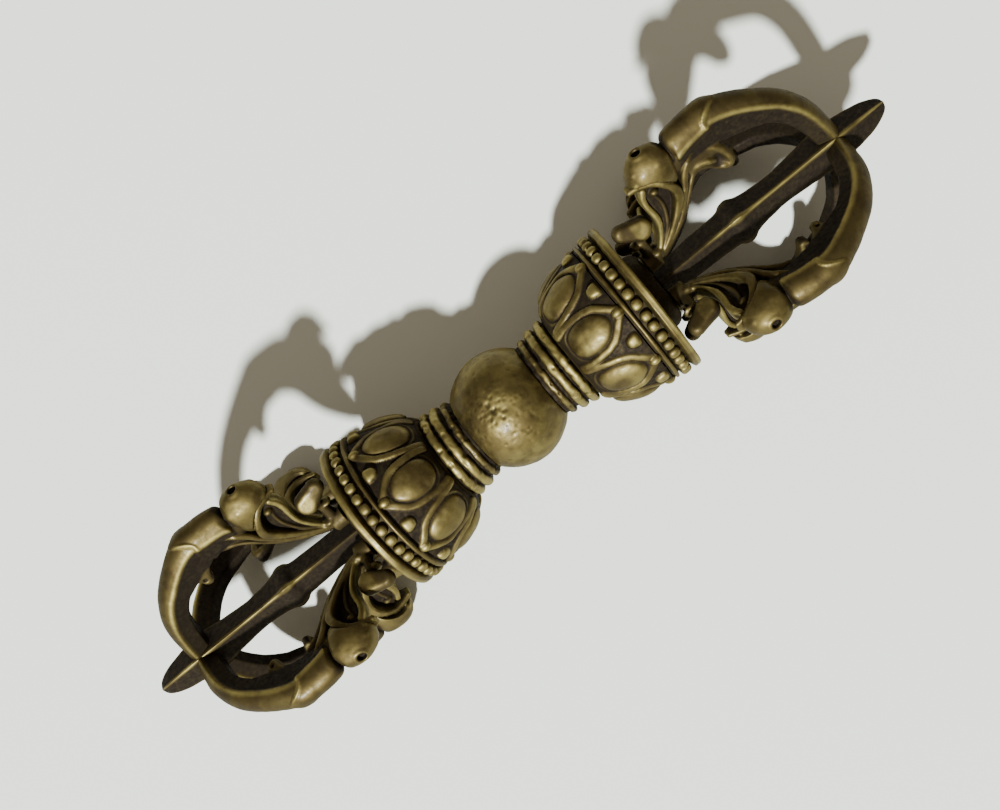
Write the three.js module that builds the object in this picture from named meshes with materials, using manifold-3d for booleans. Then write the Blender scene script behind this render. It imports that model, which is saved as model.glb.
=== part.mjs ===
// A five-pronged brass vajra, lying on its lower makara heads.
// Millimetres. +X runs along the long axis, +Z is up, and Z = 0 is the plane that it rests on.
import * as THREE from "three";
import { mergeVertices } from "three/addons/utils/BufferGeometryUtils.js";
import Module from "manifold-3d";

// Driving dimensions
const HALF_LENGTH = 70;
const AXIS_HEIGHT = 15.95;
const SOLDER_GAP = 0.3;

const ROD_RADIUS = 1.9;
const ROD_END = 23.6;
const BORE_RADIUS = ROD_RADIUS + SOLDER_GAP;

const BALL_RADIUS = 9.1;
const BALL_FACE = 6.2;

const COLLAR_START = BALL_FACE + SOLDER_GAP;
const COLLAR_END = 11.8;
const COLLAR_RADIUS = 6.3;
const COLLAR_FLARE = 0.11;
const RING_HEIGHT = 0.7;
const RING_CENTRES = [7.6, 9.4, 11.05];
const RING_HALF_WIDTH = 0.8;

const CUP_START = COLLAR_END + SOLDER_GAP;
const CUP_END = 21.8;
const CUP_FOOT_RADIUS = 6.8;
const CUP_MOUTH_RADIUS = 11.95;
const CUP_FULLNESS = 1.7;

const PETALS = 8;
const PETAL_START = 12.6;
const PETAL_TIP = 21.7;
const PETAL_HALF_WIDTH = 3.9;
const PETAL_RISE = 0.38;
const BOSS_CENTRE = 16.4;
const BOSS_HALF_LENGTH = 3.3;
const BOSS_HALF_WIDTH = 2.5;
const BOSS_HEIGHT = 0.9;
const BUD_CENTRE = 20.7;
const BUD_RADIUS = 1.1;

const RIM_START = CUP_END + SOLDER_GAP;
const RIM_END = 26.5;
const RIM_RADIUS = 12.05;
const RIM_BORE_RADIUS = 11.1;
const WIRE_CENTRE = 22.5;
const WIRE_RADIUS = 0.35;
const BEADS = 40;
const BEAD_CENTRE = 24.15;
const BEAD_RADIUS = 0.78;
const LIP_START = 25.2;
const LIP_RADIUS = 12.7;

const SEAT_START = CUP_END + SOLDER_GAP;
const SEAT_END = 24.4;
const SEAT_RADIUS = RIM_BORE_RADIUS - SOLDER_GAP;
const SEAT_BOSS_END = 28.6;
const SEAT_BOSS_RADIUS = 6.4;
const PEG_CIRCLE = 4.5;
const PEG_RADIUS = 0.95;
const PEG_END = 23;

const MAKARAS = 4;
const HEAD_X = 36.9;
const HEAD_R = 18.1;
const HEAD_HALF = new THREE.Vector3(3.9, 3.1, 3.3);
const EYE_X = 36.4;
const EYE_RADIUS = 0.75;
const EYE_DEPTH = 0.9;
const JEWEL_X = 30.2;
const JEWEL_R = 11.4;
const JEWEL_HALF = new THREE.Vector3(2.3, 1.6, 1.75);
const STALK_RADIUS = 0.85;
const FOOT_RADIUS = 1.65;
const FOOT_END = 31.4;
const CHEEK_HALF_WIDTH = 0.85;
const CURL_RADIUS = 0.9;
const CURL_HALF_WIDTH = 1.1;
const CURL_CENTRES = [[46.6, 11.9], [50.3, 11.2]];

const MERGE_DISTANCE = 1e-4;
const QUARTER = Math.PI / 2;
const wasm = await Module();
wasm.setup();

// Solids and their booleans

function solidOf(geometry) {
  const bare = geometry.clone();
  bare.deleteAttribute("normal");
  bare.deleteAttribute("uv");
  const merged = mergeVertices(bare, MERGE_DISTANCE);
  const corners = merged.index.array;
  const kept = [];
  for (let i = 0; i < corners.length; i += 3) {
    const [a, b, c] = [corners[i], corners[i + 1], corners[i + 2]];
    if (a !== b && b !== c && c !== a) kept.push(a, b, c);
  }
  return new wasm.Manifold(
    new wasm.Mesh({
      numProp: 3,
      vertProperties: merged.attributes.position.array,
      triVerts: new Uint32Array(kept),
    }),
  );
}

function geometryOf(solid) {
  const mesh = solid.getMesh();
  const geometry = new THREE.BufferGeometry();
  geometry.setAttribute("position", new THREE.BufferAttribute(mesh.vertProperties, 3));
  geometry.setIndex(new THREE.BufferAttribute(mesh.triVerts, 1));
  const faceted = geometry.toNonIndexed();
  faceted.computeVertexNormals();
  return faceted;
}

const joined = (geometries) => geometries.map(solidOf).reduce((a, b) => a.add(b));

// Shapes turned or set about the long axis

// points are [distance along X, radius], from the -X end to the +X end and back to the first.
function turned(points, segments) {
  const profile = points.map(([x, radius]) => new THREE.Vector2(radius, x));
  const closed = profile[0].x > 0;
  if (closed) profile.push(profile[0].clone());
  return new THREE.LatheGeometry(profile, segments).rotateZ(-QUARTER);
}

function rod(radius, start, end, segments = 16) {
  return new THREE.CylinderGeometry(radius, radius, end - start, segments)
    .rotateZ(-QUARTER)
    .translate((start + end) / 2, 0, 0);
}

function ellipsoid(half, x, y, z, across = 12, down = 8) {
  return new THREE.SphereGeometry(1, across, down)
    .rotateX(QUARTER)
    .scale(half.x, half.y, half.z)
    .translate(x, y, z);
}

// A bar whose section follows a flat path in the XZ plane. The section's first axis is Y and its
// second points away from the long axis. sizeAt scales the two at each share of the path.
function swept(section, path, steps, sizeAt) {
  const bar = new THREE.ExtrudeGeometry(section, { depth: 1, steps, bevelEnabled: false });
  const position = bar.attributes.position;
  for (let i = 0; i < position.count; i++) {
    const across = position.getX(i);
    const out = position.getY(i);
    const along = THREE.MathUtils.clamp(position.getZ(i), 0, 1);
    const [wide, deep] = sizeAt(along);
    const centre = path.getPointAt(along);
    const heading = path.getTangentAt(along);
    position.setXYZ(
      i,
      centre.x - heading.z * out * deep,
      across * wide,
      centre.z + heading.x * out * deep,
    );
  }
  return bar;
}

const flatCurve = (points) =>
  new THREE.CatmullRomCurve3(points.map(([x, r]) => new THREE.Vector3(x, 0, r)), false, "centripetal");

const sectionOf = (points) => new THREE.Shape(points.map(([x, y]) => new THREE.Vector2(x, y)));

// A plate in the XZ plane, cut out along a smooth outline of [x, r] points.
function plate(points, halfWidth, divisions) {
  const outline = new THREE.SplineCurve(points.map(([x, r]) => new THREE.Vector2(x, r)));
  const shape = new THREE.Shape(outline.getPoints(divisions));
  return new THREE.ExtrudeGeometry(shape, { depth: 2 * halfWidth, bevelEnabled: false })
    .translate(0, 0, -halfWidth)
    .rotateX(QUARTER);
}

// The hub: a ball and two ringed collars on one rod

const tieRod = () => solidOf(rod(ROD_RADIUS, -ROD_END, ROD_END));

function hubBall() {
  const profile = [[-BALL_FACE, BORE_RADIUS]];
  const halfAngle = Math.asin(BALL_FACE / BALL_RADIUS);
  const arcs = 8;
  for (let i = 0; i <= arcs; i++) {
    const turn = -halfAngle + (2 * halfAngle * i) / arcs;
    profile.push([BALL_RADIUS * Math.sin(turn), BALL_RADIUS * Math.cos(turn)]);
  }
  profile.push([BALL_FACE, BORE_RADIUS]);
  return solidOf(turned(profile, 24));
}

function neckCollar() {
  const profile = [[COLLAR_START, BORE_RADIUS], [COLLAR_START, COLLAR_RADIUS]];
  for (const centre of RING_CENTRES) {
    const base = COLLAR_RADIUS + COLLAR_FLARE * (centre - COLLAR_START);
    profile.push([centre - RING_HALF_WIDTH, base - 0.1]);
    profile.push([centre - RING_HALF_WIDTH / 2, base + RING_HEIGHT]);
    profile.push([centre + RING_HALF_WIDTH / 2, base + RING_HEIGHT * 0.85]);
  }
  profile.push([COLLAR_END, COLLAR_RADIUS + COLLAR_FLARE * (COLLAR_END - COLLAR_START)]);
  profile.push([COLLAR_END, BORE_RADIUS]);
  return solidOf(turned(profile, 20));
}

// The lotus cup: a solid bowl, drilled for the rod, with eight petals that each have a domed boss

// The bowl's outer radius at a distance along X: a quarter of an ellipse from foot to mouth.
function bowlRadius(x) {
  const share = THREE.MathUtils.clamp((x - CUP_START) / (CUP_END - CUP_START), 0, 1);
  const bulge = Math.sqrt(1 - (1 - share) ** CUP_FULLNESS);
  return CUP_FOOT_RADIUS + (CUP_MOUTH_RADIUS - CUP_FOOT_RADIUS) * bulge;
}

function bowl() {
  const steps = 6;
  const profile = [[CUP_START, BORE_RADIUS]];
  for (let i = 0; i <= steps; i++) {
    const x = CUP_START + (CUP_END - CUP_START) * (i / steps) ** 1.4;
    profile.push([x, bowlRadius(x)]);
  }
  profile.push([CUP_END, BORE_RADIUS]);
  return turned(profile, 24);
}

// A leaf laid on the bowl: a pointed outline lifted off the bowl's surface.
function petal() {
  const steps = 4;
  const outline = [];
  const widthAt = (share) => PETAL_HALF_WIDTH * Math.sin(Math.PI * share ** 0.8) ** 0.75;
  const length = PETAL_TIP - PETAL_START;
  for (let i = 0; i <= steps; i++) outline.push([PETAL_START + (length * i) / steps, widthAt(i / steps)]);
  for (let i = steps - 1; i > 0; i--) outline.push([PETAL_START + (length * i) / steps, -widthAt(i / steps)]);
  const leaf = new THREE.ExtrudeGeometry(sectionOf(outline), { depth: 1, bevelEnabled: false });
  const position = leaf.attributes.position;
  for (let i = 0; i < position.count; i++) {
    const x = position.getX(i);
    const turn = position.getY(i) / bowlRadius(x);
    const radius = bowlRadius(x) + (position.getZ(i) > 0.5 ? PETAL_RISE : -PETAL_RISE);
    position.setXYZ(i, x, radius * Math.sin(turn), radius * Math.cos(turn));
  }
  return leaf;
}

function petalBoss() {
  const slope = Math.atan2(bowlRadius(BOSS_CENTRE + 1) - bowlRadius(BOSS_CENTRE - 1), 2);
  return new THREE.SphereGeometry(1, 8, 6)
    .rotateX(QUARTER)
    .scale(BOSS_HALF_LENGTH, BOSS_HALF_WIDTH, BOSS_HEIGHT)
    .rotateY(-slope)
    .translate(BOSS_CENTRE, 0, bowlRadius(BOSS_CENTRE));
}

function budBetweenPetals() {
  const height = 1.5;
  return new THREE.ConeGeometry(BUD_RADIUS, height, 4)
    .rotateX(QUARTER)
    .translate(BUD_CENTRE, 0, bowlRadius(BUD_CENTRE) + height / 4);
}

function lotusCup() {
  const pieces = [bowl()];
  for (let i = 0; i < PETALS; i++) {
    const turn = (2 * Math.PI * i) / PETALS;
    pieces.push(petal().rotateX(turn), petalBoss().rotateX(turn));
    pieces.push(budBetweenPetals().rotateX(turn + Math.PI / PETALS));
  }
  return joined(pieces);
}

// The rim: a wire line, a row of beads and a rolled lip on one band

function rimRing() {
  const profile = [
    [RIM_START, RIM_BORE_RADIUS],
    [RIM_START, RIM_RADIUS + WIRE_RADIUS / 2],
    [WIRE_CENTRE, RIM_RADIUS + WIRE_RADIUS],
    [WIRE_CENTRE + WIRE_RADIUS, RIM_RADIUS],
    [LIP_START, RIM_RADIUS],
    [LIP_START + 0.3, LIP_RADIUS],
    [RIM_END, LIP_RADIUS - 0.2],
    [RIM_END, RIM_BORE_RADIUS],
  ];
  const pieces = [turned(profile, BEADS)];
  for (let i = 0; i < BEADS; i++) {
    const turn = (2 * Math.PI * (i + 0.5)) / BEADS;
    const bead = new THREE.OctahedronGeometry(BEAD_RADIUS).translate(BEAD_CENTRE, 0, RIM_RADIUS);
    pieces.push(bead.rotateX(turn));
  }
  return joined(pieces);
}

// The seat: a disc that closes the cup's mouth, with a boss that holds the feet of the five prongs

function prongSeat() {
  const profile = [
    [SEAT_START, BORE_RADIUS],
    [SEAT_START, SEAT_RADIUS],
    [SEAT_END - 0.4, SEAT_RADIUS],
    [SEAT_END, SEAT_RADIUS - 0.6],
    [SEAT_END + 0.6, SEAT_BOSS_RADIUS + 0.5],
    [SEAT_BOSS_END - 0.8, SEAT_BOSS_RADIUS],
    [SEAT_BOSS_END, SEAT_BOSS_RADIUS - 0.7],
    [SEAT_BOSS_END, BORE_RADIUS],
  ];
  let seat = solidOf(turned(profile, 20));
  for (let i = 0; i < MAKARAS; i++) {
    const socket = rod(PEG_RADIUS + SOLDER_GAP, PEG_END - SOLDER_GAP, SEAT_BOSS_END + 1, 8);
    seat = seat.subtract(solidOf(socket.translate(0, 0, PEG_CIRCLE).rotateX(QUARTER * (i + 0.5))));
  }
  return seat;
}

// The central prong: square in section with its ridges between the outer prongs

// [distance along X, half of the diagonal]
const SPINE = [
  [SEAT_BOSS_END + SOLDER_GAP, 2.5],
  [36, 2.75],
  [41.6, 2.95],
  [42.6, 3.5],
  [43.6, 3.7],
  [44.8, 3.3],
  [47, 2.75],
  [50.5, 2.5],
  [55, 2.8],
  [59.5, 3.3],
  [61.6, 3.2],
  [64.6, 2.8],
  [67.4, 2.15],
  [69.2, 1.2],
];

function spineSolid(extra) {
  const first = SPINE[0][0];
  const grown = SPINE.map(([x, half]) => [x, half + extra]);
  return turned([[first, 0], ...grown, [HALF_LENGTH + extra, 0]], 4);
}

function centralProng() {
  return joined([spineSolid(0), rod(ROD_RADIUS, ROD_END + SOLDER_GAP, SEAT_BOSS_END + 1)]);
}

// The makara prongs, each modelled in the XZ plane and turned to its quarter afterwards

const ARM_SECTION = sectionOf([
  [2.3, 0],
  [1.65, 1.25],
  [0, 1.85],
  [-1.65, 1.25],
  [-2.3, 0],
  [-1.1, -1.75],
  [0, -2.4],
  [1.1, -1.75],
]);
const ARM_PATH = flatCurve([
  [39.5, 17.9],
  [42.2, 18.7],
  [44.9, 19.0],
  [47.6, 18.6],
  [50.5, 17.3],
  [53.5, 15.3],
  [56.0, 13.2],
  [57.9, 10.8],
  [59.3, 8.0],
  [60.2, 5.0],
  [60.8, 2.3],
  [61.0, 1.2],
]);
const ARM_STEPS = 11;
const SLEEVE_STEPS = 4;
const SLEEVE_SIZE = [1.05, 1.35];
const TAPER_START = 0.6;
const ARM_TIP_DEPTH = 0.85;

// The leaf at the arm's root is thicker than the arm. The arm keeps its width up to its tip, where
// the side ridges of all four arms meet on those of the central prong, and only thins from back to front.
function armSize(t) {
  if (t * ARM_STEPS < SLEEVE_STEPS + 0.5) return SLEEVE_SIZE;
  return [1, 1 - ((1 - ARM_TIP_DEPTH) * Math.max(0, t - TAPER_START)) / (1 - TAPER_START)];
}

const arm = () => swept(ARM_SECTION, ARM_PATH, ARM_STEPS, armSize);

function head() {
  const skull = solidOf(ellipsoid(HEAD_HALF, HEAD_X, 0, HEAD_R, 12, 8));
  const eye = new THREE.CylinderGeometry(EYE_RADIUS, EYE_RADIUS * 0.8, 2 * EYE_DEPTH, 8);
  eye.rotateX(QUARTER).translate(EYE_X, 0, HEAD_R + HEAD_HALF.z);
  return skull.subtract(solidOf(eye));
}

// The thin plate behind the jaws, from the foot beside the central prong out to the head and arm.
function cheek() {
  const outline = [
    [30.4, 3.4],
    [33.6, 4.6],
    [37.0, 7.2],
    [39.4, 10.2],
    [41.4, 12.2],
    [44.2, 12.7],
    [46.6, 12.1],
    [48.5, 12.4],
    [50.4, 11.5],
    [52.0, 13.4],
    [48.0, 17.4],
    [42.0, 17.6],
    [38.0, 17.4],
    [34.3, 16.2],
    [34.2, 13.2],
    [34.0, 10.0],
    [32.4, 6.8],
    [30.2, 4.6],
    [30.4, 3.4],
  ];
  return plate(outline, CHEEK_HALF_WIDTH, 16);
}

// A band that stands across the plate, as wide in Y as its half width says, along [x, r] points.
function band(points, halfWidth, halfThickness, steps, tip) {
  const section = sectionOf([
    [halfWidth, 0],
    [0.7 * halfWidth, halfThickness],
    [-0.7 * halfWidth, halfThickness],
    [-halfWidth, 0],
    [-0.7 * halfWidth, -halfThickness],
    [0.7 * halfWidth, -halfThickness],
  ]);
  const sizeAt = (t) => Array(2).fill(1 - (1 - tip) * t);
  return swept(section, flatCurve(points), steps, sizeAt);
}

// The lip runs under the head and sweeps back to the foot, the lower jaw runs behind it from under
// the arm, and the tusk stands in front of both.
function jaws() {
  const lip = [
    [33.3, 15.9],
    [35.4, 15.9],
    [37.5, 14.9],
    [38.4, 13.0],
    [37.7, 10.9],
    [35.9, 8.8],
    [33.6, 6.6],
    [31.4, 4.4],
  ];
  const lower = [
    [43.2, 16.2],
    [41.4, 14.6],
    [40.1, 12.6],
    [38.7, 10.2],
    [36.9, 8.0],
    [34.6, 6.2],
    [32.4, 4.6],
  ];
  const tusk = [
    [34.5, 16.0],
    [33.9, 14.4],
    [34.1, 12.2],
    [34.2, 10.2],
    [33.6, 8.2],
    [32.3, 6.2],
    [31.0, 4.4],
  ];
  return [
    band(lip, 2.3, 0.75, 9, 0.55),
    band(lower, 1.8, 0.65, 6, 0.6),
    band(tusk, 1.25, 0.65, 6, 0.8),
  ];
}

// Two small curls stand inwards from the plate under the arm.
const curls = () =>
  CURL_CENTRES.map(([x, r]) =>
    new THREE.CylinderGeometry(CURL_RADIUS, CURL_RADIUS, 2 * CURL_HALF_WIDTH, 8).translate(x, 0, r),
  );

function foot() {
  const post = rod(FOOT_RADIUS, SEAT_BOSS_END + SOLDER_GAP, FOOT_END, 6).translate(0, 0, PEG_CIRCLE);
  const peg = rod(PEG_RADIUS, PEG_END, SEAT_BOSS_END + 1, 6).translate(0, 0, PEG_CIRCLE);
  const stalk = new THREE.CylinderGeometry(STALK_RADIUS, STALK_RADIUS, JEWEL_R - PEG_CIRCLE, 6)
    .rotateX(QUARTER)
    .translate(JEWEL_X, 0, (JEWEL_R + PEG_CIRCLE) / 2);
  return [post, peg, stalk];
}

// What one prong may fill: the quarter round the axis that is its own, less the central prong.
function quarterOf(solid) {
  const reach = 30;
  const clear = SOLDER_GAP / 2;
  const wedge = sectionOf([
    [0, clear * Math.SQRT2],
    [reach, reach + clear * Math.SQRT2],
    [-reach, reach + clear * Math.SQRT2],
  ]);
  const prism = new THREE.ExtrudeGeometry(wedge, { depth: HALF_LENGTH, bevelEnabled: false });
  prism.rotateY(QUARTER).rotateX(QUARTER);
  return solid.intersect(solidOf(prism)).subtract(solidOf(spineSolid(SOLDER_GAP).rotateX(QUARTER / 2)));
}

function makaraProng() {
  const jewel = ellipsoid(JEWEL_HALF, JEWEL_X, 0, JEWEL_R, 8, 6);
  const pieces = [arm(), cheek(), jewel, ...jaws(), ...curls(), ...foot()];
  return quarterOf(joined(pieces).add(head()));
}

// Flattens what reaches below the resting plane, as wear has on the lowest heads.
function restedOn(solid, group) {
  const size = 200;
  const floor = new THREE.BoxGeometry(size, size, size).translate(0, 0, -size / 2);
  group.updateWorldMatrix(true, false);
  return solid.subtract(solidOf(floor.applyMatrix4(group.matrixWorld.clone().invert())));
}

// Materials: antique brass, brighter where it is handled and nearly black where it is sheltered

const brass = (color, roughness) =>
  new THREE.MeshStandardMaterial({ color, roughness, metalness: 1, flatShading: true });

const finishes = {
  hub: () => brass(0x6f5f35, 0.42),
  collar: () => brass(0x75663c, 0.4),
  cup: () => brass(0x6d6038, 0.38),
  rim: () => brass(0x7c6d42, 0.36),
  seat: () => brass(0x2e281c, 0.6),
  spine: () => brass(0x4d4329, 0.45),
  makara: () => brass(0x77673a, 0.34),
  rod: () => brass(0x8a7a4c, 0.5),
};

// Assembly

const vajra = new THREE.Group();
const axis = new THREE.Group();
axis.position.z = AXIS_HEIGHT;
vajra.add(axis);

function place(parent, name, solid, finish) {
  const mesh = new THREE.Mesh(geometryOf(solid), finish());
  mesh.name = name;
  parent.add(mesh);
}

place(axis, "tie_rod", tieRod(), finishes.rod);
place(axis, "hub_ball", hubBall(), finishes.hub);

const collar = neckCollar();
const cup = lotusCup();
const rim = rimRing();
const seat = prongSeat();
const spine = centralProng();
const makara = makaraProng();

for (const [end, turn] of [["right", 0], ["left", Math.PI]]) {
  const half = new THREE.Group();
  half.rotation.z = turn;
  axis.add(half);
  place(half, end + "_neck_collar", collar, finishes.collar);
  place(half, end + "_lotus_cup", cup, finishes.cup);
  place(half, end + "_rim_ring", rim, finishes.rim);
  place(half, end + "_prong_seat", seat, finishes.seat);
  place(half, end + "_central_prong", spine, finishes.spine);
  for (let i = 0; i < MAKARAS; i++) {
    const quarter = new THREE.Group();
    quarter.rotation.x = QUARTER * (i + 0.5);
    half.add(quarter);
    const low = i === 1 || i === 2;
    const solid = low ? restedOn(makara, quarter) : makara;
    place(quarter, end + "_makara_prong_" + (i + 1), solid, finishes.makara);
  }
}

export default vajra;
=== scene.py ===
# The looks of a five-pronged brass vajra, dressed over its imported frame.
# Shapes are worked out in millimetres about the long axis and scaled to metres when a mesh is made.
# +X runs along the long axis, +Z is up, and the floor is at Z = 0.
import math

import bpy
import numpy as np
import openvdb
from mathutils import Matrix, Vector


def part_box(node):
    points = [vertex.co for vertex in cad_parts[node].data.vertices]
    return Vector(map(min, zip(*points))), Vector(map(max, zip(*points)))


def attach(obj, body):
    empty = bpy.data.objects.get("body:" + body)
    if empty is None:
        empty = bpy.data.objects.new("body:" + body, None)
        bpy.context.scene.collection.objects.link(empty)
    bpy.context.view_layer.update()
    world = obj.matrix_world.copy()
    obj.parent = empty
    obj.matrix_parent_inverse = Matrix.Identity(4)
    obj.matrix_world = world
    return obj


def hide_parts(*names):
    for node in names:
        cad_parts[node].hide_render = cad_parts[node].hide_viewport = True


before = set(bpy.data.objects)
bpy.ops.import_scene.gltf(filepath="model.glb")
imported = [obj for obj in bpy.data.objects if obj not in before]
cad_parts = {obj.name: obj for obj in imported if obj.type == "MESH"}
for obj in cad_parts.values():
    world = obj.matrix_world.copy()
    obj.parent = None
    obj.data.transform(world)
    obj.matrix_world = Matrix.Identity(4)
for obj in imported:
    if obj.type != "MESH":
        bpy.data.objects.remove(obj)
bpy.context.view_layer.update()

MM = 0.001
ENDS = {"right": 1, "left": -1}
MAKARAS = 4
CURLED_PRONGS = ("right_4", "left_2")
ROOT_2 = math.sqrt(2)

ball_low, ball_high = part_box("hub_ball")
AXIS_HEIGHT = (ball_low.z + ball_high.z) / 2 / MM


# Camera and light

IMAGE_WIDTH = 1000
FOCAL_PIXELS = 1228.86
SENSOR_WIDTH = 36.0
NEAR_CLIP = 0.01
CAMERA_PLACE = Vector((18.733, -10.842, 183.143 + AXIS_HEIGHT)) * MM
CAMERA_ACROSS = Vector((0.99437, 0.0, -0.10600))
CAMERA_BACK = Vector((0.10578, -0.06495, 0.99227))
CAMERA_ROLL = 0.6788

# The lamp's distance and size are in metres and its power in watts
LAMP_DIRECTION = Vector((-0.43, -0.49, 0.757))
LAMP_DISTANCE = 4.0
LAMP_SIZE = 0.24
LAMP_POWER = 545.0
LAMP_COLOUR = (0.93, 1.0, 1.0)
ROOM_LEVEL = (0.1, 0.085, 0.075)
ROOM_OVERHEAD = (0.44, 0.39, 0.31)

FLOOR_HALF = 0.6
PAPER = (0.735, 0.74, 0.665)
PAPER_ROUGHNESS = 0.9


def add_object(name, data):
    thing = bpy.data.objects.new(name, data)
    bpy.context.scene.collection.objects.link(thing)
    return thing


def add_camera():
    data = bpy.data.cameras.new("photo_camera")
    data.sensor_width = SENSOR_WIDTH
    data.lens = FOCAL_PIXELS / IMAGE_WIDTH * SENSOR_WIDTH
    data.clip_start = NEAR_CLIP
    camera = add_object("photo_camera", data)
    back = CAMERA_BACK.normalized()
    up = back.cross(CAMERA_ACROSS).normalized()
    level = Matrix((up.cross(back), up, back)).transposed()
    turned = level @ Matrix.Rotation(CAMERA_ROLL, 3, "Z").inverted()
    camera.matrix_world = Matrix.Translation(CAMERA_PLACE) @ turned.to_4x4()
    bpy.context.scene.camera = camera


def add_lamp():
    data = bpy.data.lights.new("key_lamp", "AREA")
    data.shape = "DISK"
    data.size = LAMP_SIZE
    data.energy = LAMP_POWER
    data.color = LAMP_COLOUR
    lamp = add_object("key_lamp", data)
    towards = LAMP_DIRECTION.normalized()
    lamp.location = towards * LAMP_DISTANCE
    lamp.rotation_euler = towards.to_track_quat("Z", "Y").to_euler()


def feed(tree, node, inputs):
    """Joins each input to a socket, or sets it to a value."""
    for title, value in inputs.items():
        if isinstance(value, bpy.types.NodeSocket):
            tree.links.new(value, node.inputs[title])
        else:
            node.inputs[title].default_value = value


def add_node(tree, kind, output, inputs, **settings):
    node = tree.nodes.new(kind)
    for title, value in settings.items():
        setattr(node, title, value)
    feed(tree, node, inputs)
    return node.outputs[output]


def add_world():
    """A dim room that is lighter overhead: each colour is the light from that direction."""
    world = bpy.data.worlds.new("studio")
    world.use_nodes = True
    tree = world.node_tree
    direction = add_node(tree, "ShaderNodeTexCoord", "Generated", {})
    height = add_node(tree, "ShaderNodeSeparateXYZ", "Z", {"Vector": direction})
    colours = {"Factor": height, "A": (*ROOM_LEVEL, 1), "B": (*ROOM_OVERHEAD, 1)}
    light = add_node(tree, "ShaderNodeMix", "Result", colours, data_type="RGBA")
    feed(tree, tree.nodes["Background"], {"Color": light})
    bpy.context.scene.world = world


def add_floor():
    mesh = bpy.data.meshes.new("paper_floor")
    corners = [(x * FLOOR_HALF, y * FLOOR_HALF, 0) for x, y in ((-1, -1), (1, -1), (1, 1), (-1, 1))]
    mesh.from_pydata(corners, [], [(0, 1, 2, 3)])
    material = bpy.data.materials.new("paper")
    material.use_nodes = True
    tree = material.node_tree
    feed(tree, tree.nodes["Principled BSDF"], {"Base Color": (*PAPER, 1), "Roughness": PAPER_ROUGHNESS})
    mesh.materials.append(material)
    add_object("paper_floor", mesh)


# Materials

# BRIGHT is worn brass and painted highlight; BLACK is dark patina and painted shade
DARK = (0.066, 0.046, 0.0175)
MIDDLE = (0.115, 0.084, 0.028)
BRIGHT = (0.315, 0.25, 0.082)
BLACK = (0.015, 0.0105, 0.0075)
SPECULAR_TINT = (0.4, 0.41, 0.43)
SPECULAR_LEVEL = 0.2
COAT_ROUGHNESS = 0.24
BUMP_STRENGTH = 0.5
BUMP_DEPTH = 0.00008
PIT_SHARE = 0.7
GRAIN_SHARE = 0.3
# Noises: scale, detail and roughness
PATCHES = (330, 5, 0.55)
PITS = (900, 6, 0.6)
GRAIN = (1500, 4, 0.65)
# Ranges: two values, and what is made of each
PATCH_TO_COLOUR = (0.35, 0.65, 0.0, 1.0)
PATCH_TO_WEAR = (0.3, 0.6, 0.45, 1.0)
PATCH_TO_SHELTER = (0.56, 0.75, 0.0, 0.35)
GRAIN_TO_SHELTER = (0.25, 0.6, 0.8, 1.0)
GRAIN_TO_ROUGHNESS = (0.3, 0.7, 0.48, 0.66)
PATINA_AND_SHADE_TO_ROUGHNESS = (0.2, 1.0, 0.0, 0.1)
PATINA_AND_SHADE_TO_METAL = (0.1, 1.0, 1.0, 0.65)
PATINA_AND_SHADE_TO_COAT = (0.1, 0.6, 0.13, 0.0)


def brass_material():
    """Old brass: bright where it is worn and where a highlight is painted, olive brown between, nearly black
    where it has patina in its hollows and where shade is painted.
    """
    material = bpy.data.materials.new("aged_brass")
    material.use_nodes = True
    tree = material.node_tree
    coordinates = add_node(tree, "ShaderNodeTexCoord", "Object", {})

    def noise(scale, detail, rough):
        inputs = {"Vector": coordinates, "Scale": scale, "Detail": detail, "Roughness": rough}
        return add_node(tree, "ShaderNodeTexNoise", "Fac", inputs)

    def ranged(value, low, high, to_low, to_high):
        inputs = {"Value": value, "From Min": low, "From Max": high, "To Min": to_low, "To Max": to_high}
        return add_node(tree, "ShaderNodeMapRange", "Result", inputs)

    def sums(operation, a, b):
        return add_node(tree, "ShaderNodeMath", "Value", {0: a, 1: b}, operation=operation, use_clamp=True)

    def blended(share, a, b):
        return add_node(tree, "ShaderNodeMix", "Result", {"Factor": share, "A": a, "B": b}, data_type="RGBA")

    def attribute(title):
        return add_node(tree, "ShaderNodeAttribute", "Fac", {}, attribute_name=title)

    patches = noise(*PATCHES)
    grain = noise(*GRAIN)
    # One attribute holds wear and painted highlights, the other patina and painted shade
    wear_and_highlight = sums("MULTIPLY", attribute("wear_and_highlight"), ranged(patches, *PATCH_TO_WEAR))
    patina_and_shade_level = sums("ADD", attribute("patina_and_shade"), ranged(patches, *PATCH_TO_SHELTER))
    blackened = sums("MULTIPLY", patina_and_shade_level, ranged(grain, *GRAIN_TO_SHELTER))
    base = blended(ranged(patches, *PATCH_TO_COLOUR), (*DARK, 1), (*MIDDLE, 1))
    base = blended(blackened, blended(wear_and_highlight, base, (*BRIGHT, 1)), (*BLACK, 1))
    rough = sums("ADD", ranged(grain, *GRAIN_TO_ROUGHNESS), ranged(patina_and_shade_level, *PATINA_AND_SHADE_TO_ROUGHNESS))
    height = sums("ADD", sums("MULTIPLY", noise(*PITS), PIT_SHARE), sums("MULTIPLY", grain, GRAIN_SHARE))
    bump = {"Strength": BUMP_STRENGTH, "Distance": BUMP_DEPTH, "Height": height}
    normal = add_node(tree, "ShaderNodeBump", "Normal", bump)

    feed(tree, tree.nodes["Principled BSDF"], {
        "Base Color": base,
        "Metallic": ranged(patina_and_shade_level, *PATINA_AND_SHADE_TO_METAL),
        "Roughness": rough,
        "Normal": normal,
        "Specular Tint": (*SPECULAR_TINT, 1),
        "Specular IOR Level": SPECULAR_LEVEL,
        "Coat Weight": ranged(patina_and_shade_level, *PATINA_AND_SHADE_TO_COAT),
        "Coat Roughness": COAT_ROUGHNESS,
        "Coat Normal": normal,
    })
    return material


# Numbers: smooth curves, blends and noise

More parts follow.
